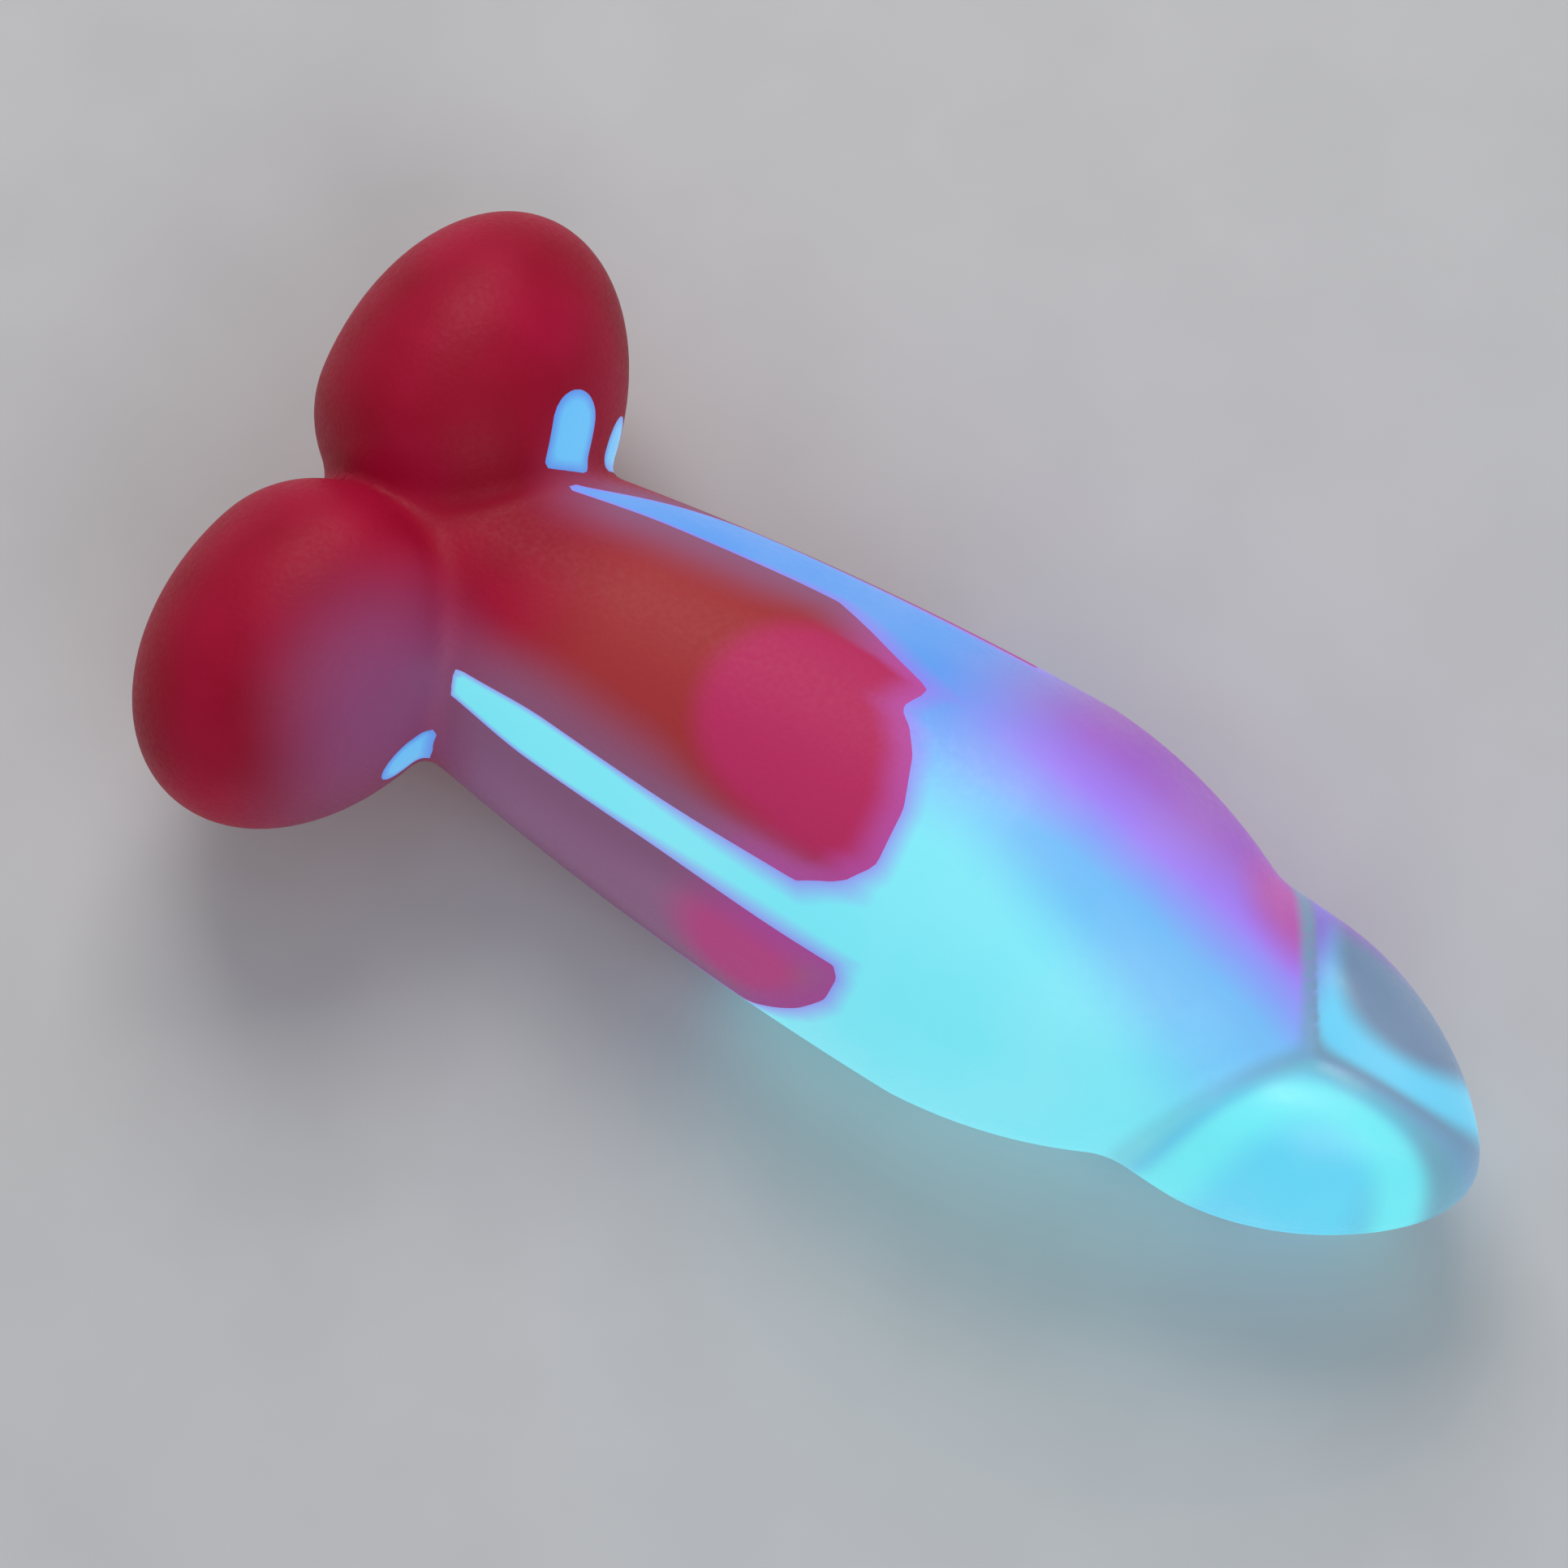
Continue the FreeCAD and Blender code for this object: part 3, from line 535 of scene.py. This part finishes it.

# Red jacket: deep red and crimson are its own colour; russet, rose and the mauve and pink tones are painted
# glow from the lit body, shining through the red and cast on the near lobe
CRIMSON = lin(166, 16, 54)
DEEP_RED = lin(146, 8, 38)
RUSSET = lin(164, 52, 56)
ROSE = lin(186, 46, 96)
SIDE_TONGUE, SIDE_TONGUE_FRONT = lin(164, 116, 154), lin(208, 82, 150)
NEAR_LOBE_LOW, NEAR_LOBE_HIGH = lin(146, 84, 122), lin(152, 84, 136)
EDGE_GLOW_REAR, EDGE_GLOW_FRONT = lin(146, 98, 134), lin(190, 84, 170)

# Circuit board and lamps
BOARD_GREEN, BOARD_TRACK, BOARD_DARK = lin(18, 82, 44), lin(52, 122, 70), lin(14, 70, 40)
LAMP_DIM, LAMP_BRIGHT = lin(150, 232, 255), lin(190, 244, 255)


class Nodes:
    """Small helper that adds and links shader nodes."""

    def __init__(self, tree):
        self.tree = tree

    def add(self, kind, **settings):
        node = self.tree.nodes.new(kind)
        inputs = settings.pop("inputs", {})
        for k, v in settings.items():
            setattr(node, k, v)
        for k, v in inputs.items():
            if isinstance(v, bpy.types.NodeSocket):
                self.tree.links.new(v, node.inputs[k])
            else:
                node.inputs[k].default_value = v
        return node

    def math(self, op, a, b=0.0, clamp=False):
        return self.add("ShaderNodeMath", operation=op, use_clamp=clamp, inputs={0: a, 1: b}).outputs[0]

    def mix(self, factor, a, b):
        return self.add("ShaderNodeMix", data_type="RGBA", inputs={0: factor, 6: a, 7: b}).outputs[2]

    def ramp(self, factor, stops):
        node = self.add("ShaderNodeValToRGB", inputs={0: factor})
        ramp = node.color_ramp
        while len(ramp.elements) < len(stops):
            ramp.elements.new(0.5)
        for element, (place, colour) in zip(ramp.elements, stops):
            element.position = place
            element.color = colour
        return node.outputs[0]

    def span(self, value, a, b, c=0.0, d=1.0):
        return self.add("ShaderNodeMapRange", interpolation_type="SMOOTHSTEP",
                        inputs={0: value, 1: a, 2: b, 3: c, 4: d}).outputs[0]


def grain_group():
    """Fine moulding grain, its normal and a broad mottle, shared by all finishes."""
    tree = bpy.data.node_groups.new("moulding_grain", "ShaderNodeTree")
    tree.interface.new_socket("Scale", in_out="INPUT", socket_type="NodeSocketFloat")
    tree.interface.new_socket("Strength", in_out="INPUT", socket_type="NodeSocketFloat")
    tree.interface.new_socket("Mottle", in_out="OUTPUT", socket_type="NodeSocketFloat")
    tree.interface.new_socket("Grain", in_out="OUTPUT", socket_type="NodeSocketFloat")
    tree.interface.new_socket("Normal", in_out="OUTPUT", socket_type="NodeSocketVector")
    k = Nodes(tree)
    inp = k.add("NodeGroupInput")
    out = k.add("NodeGroupOutput")
    coord = k.add("ShaderNodeTexCoord").outputs["Object"]
    fine = k.add("ShaderNodeTexNoise", inputs={"Vector": coord, "Scale": inp.outputs["Scale"], "Detail": 3.0})
    broad = k.add("ShaderNodeTexNoise", inputs={"Vector": coord, "Scale": 38.0, "Detail": 2.0})
    bump = k.add("ShaderNodeBump", inputs={"Strength": inp.outputs["Strength"], "Distance": 0.0003,
                                           "Height": fine.outputs[0]})
    tree.links.new(k.span(broad.outputs[0], 0.3, 0.7), out.inputs["Mottle"])
    tree.links.new(fine.outputs[0], out.inputs["Grain"])
    tree.links.new(bump.outputs[0], out.inputs["Normal"])
    return tree


GRAIN = grain_group()


def new_material(name):
    m = bpy.data.materials.new(name)
    m.use_nodes = True
    k = Nodes(m.node_tree)
    return m, k, m.node_tree.nodes["Principled BSDF"]


def grain(k, scale, strength):
    node = k.add("ShaderNodeGroup")
    node.node_tree = GRAIN
    node.inputs["Scale"].default_value = scale
    node.inputs["Strength"].default_value = strength
    return node


def grain_finish(k, b, g, low, high):
    """Grain in the roughness, between two values, and in the normal."""
    k.tree.links.new(k.span(g.outputs["Grain"], 0.2, 0.8, low, high), b.inputs["Roughness"])
    k.tree.links.new(g.outputs["Normal"], b.inputs["Normal"])


def plastic(name, colour, rough, scale=900.0, strength=0.15, spread=0.12, metal=0.0, coat=0.0):
    m, k, b = new_material(name)
    g = grain(k, scale, strength)
    dark = tuple(c * (1 - spread) for c in colour[:3]) + (1.0,)
    light = tuple(min(1.0, c * (1 + spread)) for c in colour[:3]) + (1.0,)
    k.tree.links.new(k.mix(g.outputs["Mottle"], dark, light), b.inputs["Base Color"])
    grain_finish(k, b, g, rough - 0.06, rough + 0.06)
    b.inputs["Metallic"].default_value = metal
    b.inputs["Coat Weight"].default_value = coat
    return m


def attribute(k, name):
    return k.add("ShaderNodeAttribute", attribute_name=name).outputs["Fac"]


def round_patch(k, spots, center, inner, outer):
    """1 inside a soft ball round a point, 0 outside it."""
    gap = k.add("ShaderNodeVectorMath", operation="DISTANCE", inputs={0: spots, 1: center}).outputs["Value"]
    return k.span(gap, outer, inner)


# Lit patches of the red jacket in metres: middle, where they are full and where they end
TONGUE_PATCHES = [((-0.010, 0.0, 0.058), 0.013, 0.019), ((-0.004, -0.028, 0.042), 0.009, 0.017),
                  ((-0.004, 0.028, 0.042), 0.009, 0.017)]
SIDE_TONGUE_PATCH = ((-0.002, -0.030, 0.038), 0.006, 0.017)
LOBE_LOW_PATCH = ((-0.068, -0.034, 0.034), 0.006, 0.027)
LOBE_HIGH_PATCH = ((-0.070, -0.027, 0.048), 0.004, 0.024)


def red_jacket_material():
    m, k, b = new_material("red_jacket")
    g = grain(k, 1100.0, 0.20)
    spots = k.add("ShaderNodeTexCoord").outputs["Object"]
    x, y, _ = k.add("ShaderNodeSeparateXYZ", inputs={0: spots}).outputs
    edge = attribute(k, "edge")
    base = k.mix(g.outputs["Mottle"], DEEP_RED, CRIMSON)
    # Over the body the red is painted russet, as lit by the glow beneath it
    base = k.mix(k.span(x, -0.062, -0.040), base, RUSSET)
    # Painted light: rose patches where the inner glow shines through the tongues
    for patch in TONGUE_PATCHES:
        base = k.mix(round_patch(k, spots, *patch), base, ROSE)
    # Painted light: the near side tongue mauve and its front pink, where the glow is brightest
    side = k.math("MULTIPLY", k.span(y, -0.017, -0.022), k.span(x, -0.064, -0.050))
    base = k.mix(side, base, SIDE_TONGUE)
    base = k.mix(round_patch(k, spots, *SIDE_TONGUE_PATCH), base, SIDE_TONGUE_FRONT)
    # Painted light: the front of the top tongue rose
    top_front = k.math("MULTIPLY", k.span(x, -0.014, -0.002), k.span(y, -0.019, -0.015))
    base = k.mix(top_front, base, ROSE)
    # Painted glow cast from the body on the near lobe
    base = k.mix(k.math("MULTIPLY", round_patch(k, spots, *LOBE_LOW_PATCH), 0.7), base, NEAR_LOBE_LOW)
    base = k.mix(k.math("MULTIPLY", round_patch(k, spots, *LOBE_HIGH_PATCH), 0.75), base, NEAR_LOBE_HIGH)
    # Painted glow bleeding under the red along its front edges
    reach = k.span(x, -0.030, -0.010, 11.0, 6.5)
    edge_glow = k.math("MULTIPLY", k.span(edge, reach, 0.0), k.span(x, -0.072, -0.050, 0.0, 0.85))
    base = k.mix(edge_glow, base, k.mix(k.span(x, -0.020, 0.002), EDGE_GLOW_REAR, EDGE_GLOW_FRONT))
    k.tree.links.new(base, b.inputs["Base Color"])
    # The red also feeds the emission: a faint painted glow of the inner light through the red jacket
    k.tree.links.new(base, b.inputs["Emission Color"])
    b.inputs["Emission Strength"].default_value = 0.16
    grain_finish(k, b, g, 0.42, 0.56)
    b.inputs["Specular IOR Level"].default_value = 0.14
    return m


def glow_shell_material():
    m, k, b = new_material("glow_shell")
    g = grain(k, 700.0, 0.10)
    spots = k.add("ShaderNodeTexCoord").outputs["Object"]
    x, y, _ = k.add("ShaderNodeSeparateXYZ", inputs={0: spots}).outputs
    edge, groove = attribute(k, "edge"), attribute(k, "groove")
    ahead = k.math("MAXIMUM", k.math("SUBTRACT", x, 0.020), 0.0)
    turn = k.math("ADD", y, k.math("MULTIPLY", k.math("SUBTRACT", x, 0.020), 0.10))
    turn = k.math("ADD", turn, k.math("MULTIPLY", k.math("SUBTRACT", g.outputs["Mottle"], 0.5), 0.0015))
    across = k.add("ShaderNodeMapRange", inputs={0: turn, 1: -0.030, 2: 0.036}).outputs[0]
    colour = k.ramp(across, [(0.0, CYAN), (0.26, AQUA), (0.38, AZURE), (0.51, SKY),
                             (0.575, PERIWINKLE), (0.66, VIOLET), (0.80, MAGENTA), (0.96, PLUM)])
    bright = k.math("ADD", k.math("ADD", y, 0.003), k.math("MULTIPLY", ahead, 0.34))
    colour = k.mix(k.span(bright, 0.008, -0.006), colour, CYAN)
    stripe = k.math("MULTIPLY", k.span(x, 0.030, -0.002), k.span(y, 0.0, 0.010))
    colour = k.mix(stripe, colour, FAR_STRIPE)
    colour = k.mix(round_patch(k, spots, (0.066, 0.018, 0.040), 0.003, 0.014), colour, FAR_SHOULDER)
    far = k.math("MULTIPLY", k.span(x, 0.060, 0.066), k.span(attribute(k, "far_nose"), -1.4, 1.8))
    near = k.math("MULTIPLY", k.span(x, 0.060, 0.066), k.span(attribute(k, "near_nose"), -0.5, 1.5))
    groove = k.math("ADD", groove, k.math("MULTIPLY", far, 1.2))
    # Painted highlight: a bright band along each lobe's crest beside the creases
    rim = k.math("MULTIPLY", k.span(groove, 1.8, 3.8), k.span(groove, 7.6, 5.2))
    # Painted shade on the far lobe, greyer on top and violet on its outer side
    flank = k.mix(k.span(y, 0.017, 0.024), FAR_LOBE_TOP, FAR_LOBE_SIDE)
    flank = k.mix(rim, flank, k.mix(k.span(x, 0.080, 0.070), FAR_RIM_FRONT, FAR_RIM_REAR))
    colour = k.mix(far, colour, flank)
    front = k.mix(k.span(x, 0.094, 0.106), NEAR_LOBE, NEAR_LOBE_TIP)
    colour = k.mix(near, colour, k.mix(rim, front, NEAR_RIM))
    # Painted shade in the creases of the nose
    depth = k.span(groove, 4.4, 0.8, 0.0, 0.75)
    fold = k.math("MULTIPLY", depth, k.span(y, -0.016, 0.002, 0.4, 1.0))
    colour = k.mix(fold, colour, FOLD_SHADE)
    # Painted light: the glow dims to violet beside the red jacket's edges
    width = k.span(x, -0.040, 0.004, 0.9, 3.4)
    edge_glow = k.math("SUBTRACT", 1.0, k.math("DIVIDE", edge, width, True), True)
    colour = k.mix(k.math("MULTIPLY", edge_glow, 0.8), colour, EDGE_VIOLET)
    colour = k.mix(g.outputs["Mottle"], colour, k.mix(0.06, colour, WHITE))
    k.tree.links.new(colour, b.inputs["Emission Color"])
    b.inputs["Emission Strength"].default_value = 0.70
    k.tree.links.new(k.mix(0.70, colour, UNLIT), b.inputs["Base Color"])
    grain_finish(k, b, g, 0.36, 0.48)
    return m


def window_material():
    m, k, b = new_material("lobe_window_glow")
    g = grain(k, 500.0, 0.05)
    core = k.math("DIVIDE", attribute(k, "edge"), 1.8, True)
    colour = k.mix(core, WINDOW_EDGE, WINDOW_CORE)
    colour = k.mix(g.outputs["Mottle"], colour, k.mix(0.08, colour, CYAN))
    k.tree.links.new(colour, b.inputs["Emission Color"])
    b.inputs["Emission Strength"].default_value = 0.70
    k.tree.links.new(k.mix(0.66, colour, UNLIT), b.inputs["Base Color"])
    k.tree.links.new(g.outputs["Normal"], b.inputs["Normal"])
    b.inputs["Roughness"].default_value = 0.2
    return m


def board_material():
    m, k, b = new_material("solder_mask")
    g = grain(k, 1500.0, 0.08)
    spots = k.add("ShaderNodeTexCoord").outputs["Object"]
    tracks = k.add("ShaderNodeTexBrick", inputs={"Vector": spots, "Scale": 160.0, "Mortar Size": 0.03})
    base = k.mix(tracks.outputs["Fac"], BOARD_GREEN, BOARD_TRACK)
    k.tree.links.new(k.mix(g.outputs["Mottle"], base, BOARD_DARK), b.inputs["Base Color"])
    grain_finish(k, b, g, 0.28, 0.40)
    return m


def lamp_material():
    m, k, b = new_material("lamp_lens")
    g = grain(k, 400.0, 0.03)
    colour = k.mix(g.outputs["Mottle"], LAMP_DIM, LAMP_BRIGHT)
    k.tree.links.new(colour, b.inputs["Base Color"])
    k.tree.links.new(colour, b.inputs["Emission Color"])
    b.inputs["Emission Strength"].default_value = 0.8
    b.inputs["Roughness"].default_value = 0.12
    return m


jacket_red = red_jacket_material()
glow_shell = glow_shell_material()
window_glow = window_material()
shell_inside = plastic("shell_inside", lin(120, 128, 134), 0.7)

# Net of the whole skin, cut along the lines where its pieces meet
net_verts, net_quads = surface_net()
net_verts = settle(net_verts, 4)
net_tris = np.concatenate([net_quads[:, [0, 1, 2]], net_quads[:, [0, 2, 3]]])
for field in (parting_field, jacket_field, window_field):
    net_verts, net_tris = split_along(net_verts, net_tris, field)
net_verts = settle(net_verts, 1)
in_jacket = within(jacket_field, net_verts, net_tris)
in_window = within(window_field, net_verts, net_tris)
is_upper = ~within(parting_field, net_verts, net_tris)
seam = np.exp(-((net_verts[:, 2] - PARTING_Z) / PARTING_GROOVE_HALF) ** 2)
net_verts -= skin_slope(net_verts) * (PARTING_GROOVE_DEPTH * seam)[:, None]

# Openings of the underside, as in the solids: places, sizes and the heights between which they are cut
EAR_X, MIC_X, HOOK_X, SLIDER_X, SLIDER_Y = 82.8, -61.0, -44.0, 44.0, 8.0
KEYPAD_HALF_X, KEYPAD_HALF_Y, KEYPAD_CORNER = 31.2, 18.2, 10.2
HOOK_HOLE_R, SCREW_HOLE_R = 5.85, 3.0
EAR_HOLE_R, EAR_RING_R, EAR_RING_COUNT = 1.0, 5.0, 8
MIC_HOLE_R, MIC_HOLE_PITCH = 0.9, 2.4
SLOT_REAR, SLOT_FRONT, SLOT_HALF, SLOT_CORNER = 2.35, 5.35, 1.85, 0.4
BELLY_CUT = (-1.0, 9.0)
JACK_REAR_X, JACK_FRONT_X, JACK_HALF, JACK_CORNER, JACK_CUT = -140.0, -71.0, 8.2, 0.3, (3.8, 17.2)

keypad_opening = soft_rectangle(-KEYPAD_HALF_X, KEYPAD_HALF_X, -KEYPAD_HALF_Y, KEYPAD_HALF_Y, KEYPAD_CORNER)
jack_opening = soft_rectangle(JACK_REAR_X, JACK_FRONT_X, -JACK_HALF, JACK_HALF, JACK_CORNER, 2)
openings = [(keypad_opening, *BELLY_CUT), (ring(HOOK_X, 0, HOOK_HOLE_R, 48), *BELLY_CUT),
            (ring(EAR_X, 0, EAR_HOLE_R, 20), *BELLY_CUT), (jack_opening, *JACK_CUT)]
mic_spots = [(MIC_X, y) for y in (-MIC_HOLE_PITCH, 0.0, MIC_HOLE_PITCH)]
ear_spots = ring(EAR_X, 0, EAR_RING_R, EAR_RING_COUNT)
openings += [(ring(*spot, MIC_HOLE_R, 20), *BELLY_CUT) for spot in mic_spots]
openings += [(ring(*spot, EAR_HOLE_R, 20), *BELLY_CUT) for spot in ear_spots]
for side in (-1, 1):
    y = side * SLIDER_Y
    slot_opening = soft_rectangle(SLIDER_X - SLOT_REAR, SLIDER_X + SLOT_FRONT, y - SLOT_HALF, y + SLOT_HALF,
                                  SLOT_CORNER, 3)
    openings.append((slot_opening, *BELLY_CUT))
    openings.append((ring(CASE_SCREW_X, side * CASE_SCREW_Y, SCREW_HOLE_R, 32), *BELLY_CUT))
cutter = underside_cutter("underside_cutter", openings, shell_inside)


def inside_jacket(p):
    return -jacket_field(p)


def inside_window(p):
    return -window_field(p)


# Skin pieces: which triangles they take, what their finish measures the edge by, slot and finish
is_red, is_glow = in_jacket & ~in_window, ~in_jacket & ~in_window
for label, mask, edge_of, slot, finish in (
    ("upper_jacket", is_red & is_upper, inside_jacket, "red_jacket", jacket_red),
    ("lower_jacket", is_red & ~is_upper, inside_jacket, "red_jacket", jacket_red),
    ("upper_diffuser", is_glow & is_upper, jacket_field, "glow_shell", glow_shell),
    ("lower_diffuser", is_glow & ~is_upper, jacket_field, "glow_shell", glow_shell),
    ("lobe_windows", in_window, inside_window, "glow_window", window_glow),
):
    piece = thick_piece(label + "_skin", net_verts, net_tris[mask], [finish, shell_inside])
    if label.startswith("lower"):
        open_up(piece, cutter)
    finish_skin(piece, edge_of)
    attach(piece, "body")
    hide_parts(label)
bpy.data.objects.remove(cutter)

# Digits and signs on the keys, read from below with the nose upwards
key_print = plastic("key_print", lin(46, 44, 48), 0.5, 1200.0, 0.05)
READ_FROM_BELOW = Matrix(((0, 1, 0), (1, 0, 0), (0, 0, -1)))
PRINT_T = 0.06
DIGIT_SIZE = 5.4
KEY_SIGNS = [("key_star", "*", 7.5), ("key_hash", "#", 5.2),
             ("key_redial", "-", 6.0), ("key_flash", "=", 5.0)]


def key_mark(node, text, size):
    low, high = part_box(node)
    curve = bpy.data.curves.new(node + "_mark", "FONT")
    curve.body = text
    curve.size = size * MM
    curve.align_x = "CENTER"
    curve.align_y = "CENTER"
    curve.extrude = PRINT_T * MM
    stamp = bpy.data.objects.new(node + "_mark", curve)
    scene.collection.objects.link(stamp)
    mesh = bpy.data.meshes.new_from_object(stamp.evaluated_get(bpy.context.evaluated_depsgraph_get()))
    bpy.data.objects.remove(stamp)
    spot = Vector(((low[0] + high[0]) / 2, (low[1] + high[1]) / 2, low[2]))
    mesh.transform(Matrix.Translation(spot) @ READ_FROM_BELOW.to_4x4())
    mesh.materials.clear()
    mesh.materials.append(key_print)
    mark = bpy.data.objects.new(node + "_mark", mesh)
    scene.collection.objects.link(mark)
    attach(mark, node + "_body")


for digit in "1234567890":
    key_mark("key_" + digit, digit, DIGIT_SIZE)
for node, sign, size in KEY_SIGNS:
    key_mark(node, sign, size)

# Finishes of the pieces that keep their solids
finishes = {
    "bezel_red": plastic("bezel_red", lin(122, 16, 34), 0.36, 800.0, 0.12, 0.10, coat=0.15),
    "key_ivory": plastic("key_ivory", lin(232, 226, 210), 0.40, 1000.0, 0.10, 0.04),
    "silicone": plastic("grey_silicone", lin(150, 152, 156), 0.62, 1400.0, 0.12, 0.08),
    "circuit_board": board_material(),
    "steel": plastic("zinc_steel", lin(190, 192, 196), 0.30, 2200.0, 0.02, 0.08, metal=1.0),
    "black_plastic": plastic("black_moulding", lin(40, 40, 43), 0.48, 1100.0, 0.18, 0.20),
    "led_lens": lamp_material(),
    "capsule_metal": plastic("pressed_can", lin(196, 198, 200), 0.28, 1800.0, 0.02, 0.06, metal=1.0),
    "black_rubber": plastic("black_rubber", lin(34, 34, 35), 0.78, 1600.0, 0.30, 0.18),
    "clear_jack": plastic("jack_moulding", lin(58, 58, 62), 0.34, 900.0, 0.10, 0.14),
    "gold_contacts": plastic("gold_wires", lin(220, 178, 96), 0.22, 2400.0, 0.05, 0.06, metal=1.0),
}
for part in frame["record"]["subparts"]:
    if part["material_slot"] in finishes:
        mesh = nodes[part["node"]].data
        mesh.materials.clear()
        mesh.materials.append(finishes[part["material_slot"]])

# Case screws with a cross recess, where the solids have plain heads
HEAD_R, HEAD_H, HEAD_SINK, SHANK_R, SHANK_TOP = 2.8, 2.0, 1.0, 1.3, PARTING_Z + 10.0
HEAD_ROUND, HEAD_CORNER = 0.5, 0.14
RECESS_HALF, RECESS_REACH, RECESS_BELOW, RECESS_DEPTH = 0.42, 1.55, 1.0, 1.1


def cross_outline(x, y, half, reach):
    """Outline of an upright cross, one arm after the other."""
    arm = [(reach, -half), (reach, half), (half, half)]
    turns = ((1, 0, 0, 1), (0, -1, 1, 0), (-1, 0, 0, -1), (0, 1, -1, 0))
    return [(x + a * u + b * v, y + c * u + d * v) for a, b, c, d in turns for u, v in arm]


def screw_bodies(spots, count=40):
    """Heads with a rounded edge and plain shanks, one for each spot and height of its seat."""
    verts, faces = [], []
    for x, y, seat in spots:
        face = seat - HEAD_H
        profile = [(HEAD_R - HEAD_ROUND, face), (HEAD_R - HEAD_CORNER, face + HEAD_CORNER),
                   (HEAD_R, face + HEAD_ROUND), (HEAD_R, seat), (SHANK_R, seat), (SHANK_R, SHANK_TOP)]
        base = len(verts)
        for r, z in profile:
            verts += [(px, py, z) for px, py in ring(x, y, r, count)]
        faces.append([base + i for i in reversed(range(count))])
        faces.append([len(verts) - count + i for i in range(count)])
        for row in range(base, len(verts) - count, count):
            faces += band(row, count)
    return verts, faces


screw_spots = []
for side in (-1, 1):
    screw_spots.append((CASE_SCREW_X, side * CASE_SCREW_Y, BELLY_Z + HEAD_SINK + HEAD_H))
    screw_spots.append((FOOT_SCREW_X, side * FOOT_SCREW_Y, LOBE_FOOT_H + HEAD_SINK + HEAD_H))
case_screws = mesh_piece("case_screws_cross", *screw_bodies(screw_spots), [finishes["steel"]])
# The cross recesses get a darker steel: painted shade in the recesses
recess_shade_finish = plastic("screw_recess", lin(96, 97, 100), 0.42, 2200.0, 0.02, 0.08, metal=1.0)
crosses = []
for x, y, seat in screw_spots:
    face = seat - HEAD_H
    crosses.append((cross_outline(x, y, RECESS_HALF, RECESS_REACH), face - RECESS_BELOW, face + RECESS_DEPTH))
recesses = underside_cutter("screw_recesses", crosses, recess_shade_finish)
open_up(case_screws, recesses)
bpy.data.objects.remove(recesses)
soft_shading(case_screws.data)
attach(case_screws, "body")
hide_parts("case_screws")

# Stage, light and camera, in metres
FLOOR_HALF, FLOOR_COLOUR = 3.0, (0.62, 0.62, 0.63, 1.0)
WORLD_COLOUR, WORLD_STRENGTH = (0.9, 0.94, 1.0, 1.0), 0.30
LIGHT_AIM = (0, 0, 0.03)
AZIMUTH, ELEVATION, DISTANCE = math.radians(31.8), math.radians(71.5), 1.1
FRAME_WIDTH = 0.2415
CAMERA_AIM = Vector((-0.0126, -0.0010, 0.0246))

stage_floor = bpy.data.meshes.new("stage_floor")
floor_corners = [(FLOOR_HALF * x, FLOOR_HALF * y, 0.0) for x, y in ((-1, -1), (1, -1), (1, 1), (-1, 1))]
stage_floor.from_pydata(floor_corners, [], [(0, 1, 2, 3)])
stage_floor.materials.append(plastic("floor_paper", FLOOR_COLOUR, 0.8, 60.0, 0.02, 0.02))
floor = bpy.data.objects.new("stage_floor", stage_floor)
scene.collection.objects.link(floor)

scene.view_settings.view_transform = "Standard"
world = bpy.data.worlds.new("studio")
world.use_nodes = True
world.node_tree.nodes["Background"].inputs["Color"].default_value = WORLD_COLOUR
world.node_tree.nodes["Background"].inputs["Strength"].default_value = WORLD_STRENGTH
scene.world = world


def soft_light(name, spot, size, watts, colour):
    data = bpy.data.lights.new(name, "AREA")
    data.size = size
    data.energy = watts
    data.color = colour
    lamp = bpy.data.objects.new(name, data)
    lamp.location = spot
    lamp.rotation_euler = (Vector(LIGHT_AIM) - Vector(spot)).to_track_quat("-Z", "Y").to_euler()
    scene.collection.objects.link(lamp)


soft_light("key_light", (-0.5, 0.6, 0.9), 0.7, 7.0, (1.0, 0.97, 0.94))
soft_light("fill_light", (0.7, -0.5, 0.8), 0.9, 4.0, (0.92, 0.96, 1.0))

level = math.cos(ELEVATION)
back = Vector((math.sin(AZIMUTH) * level, -math.cos(AZIMUTH) * level, math.sin(ELEVATION)))
camera_data = bpy.data.cameras.new("photo_camera")
camera_data.sensor_fit = "HORIZONTAL"
camera_data.angle = 2 * math.atan(FRAME_WIDTH / 2 / DISTANCE)
camera = bpy.data.objects.new("photo_camera", camera_data)
camera.location = CAMERA_AIM + back * DISTANCE
camera.rotation_euler = (-back).to_track_quat("-Z", "Y").to_euler()
scene.collection.objects.link(camera)
scene.camera = camera
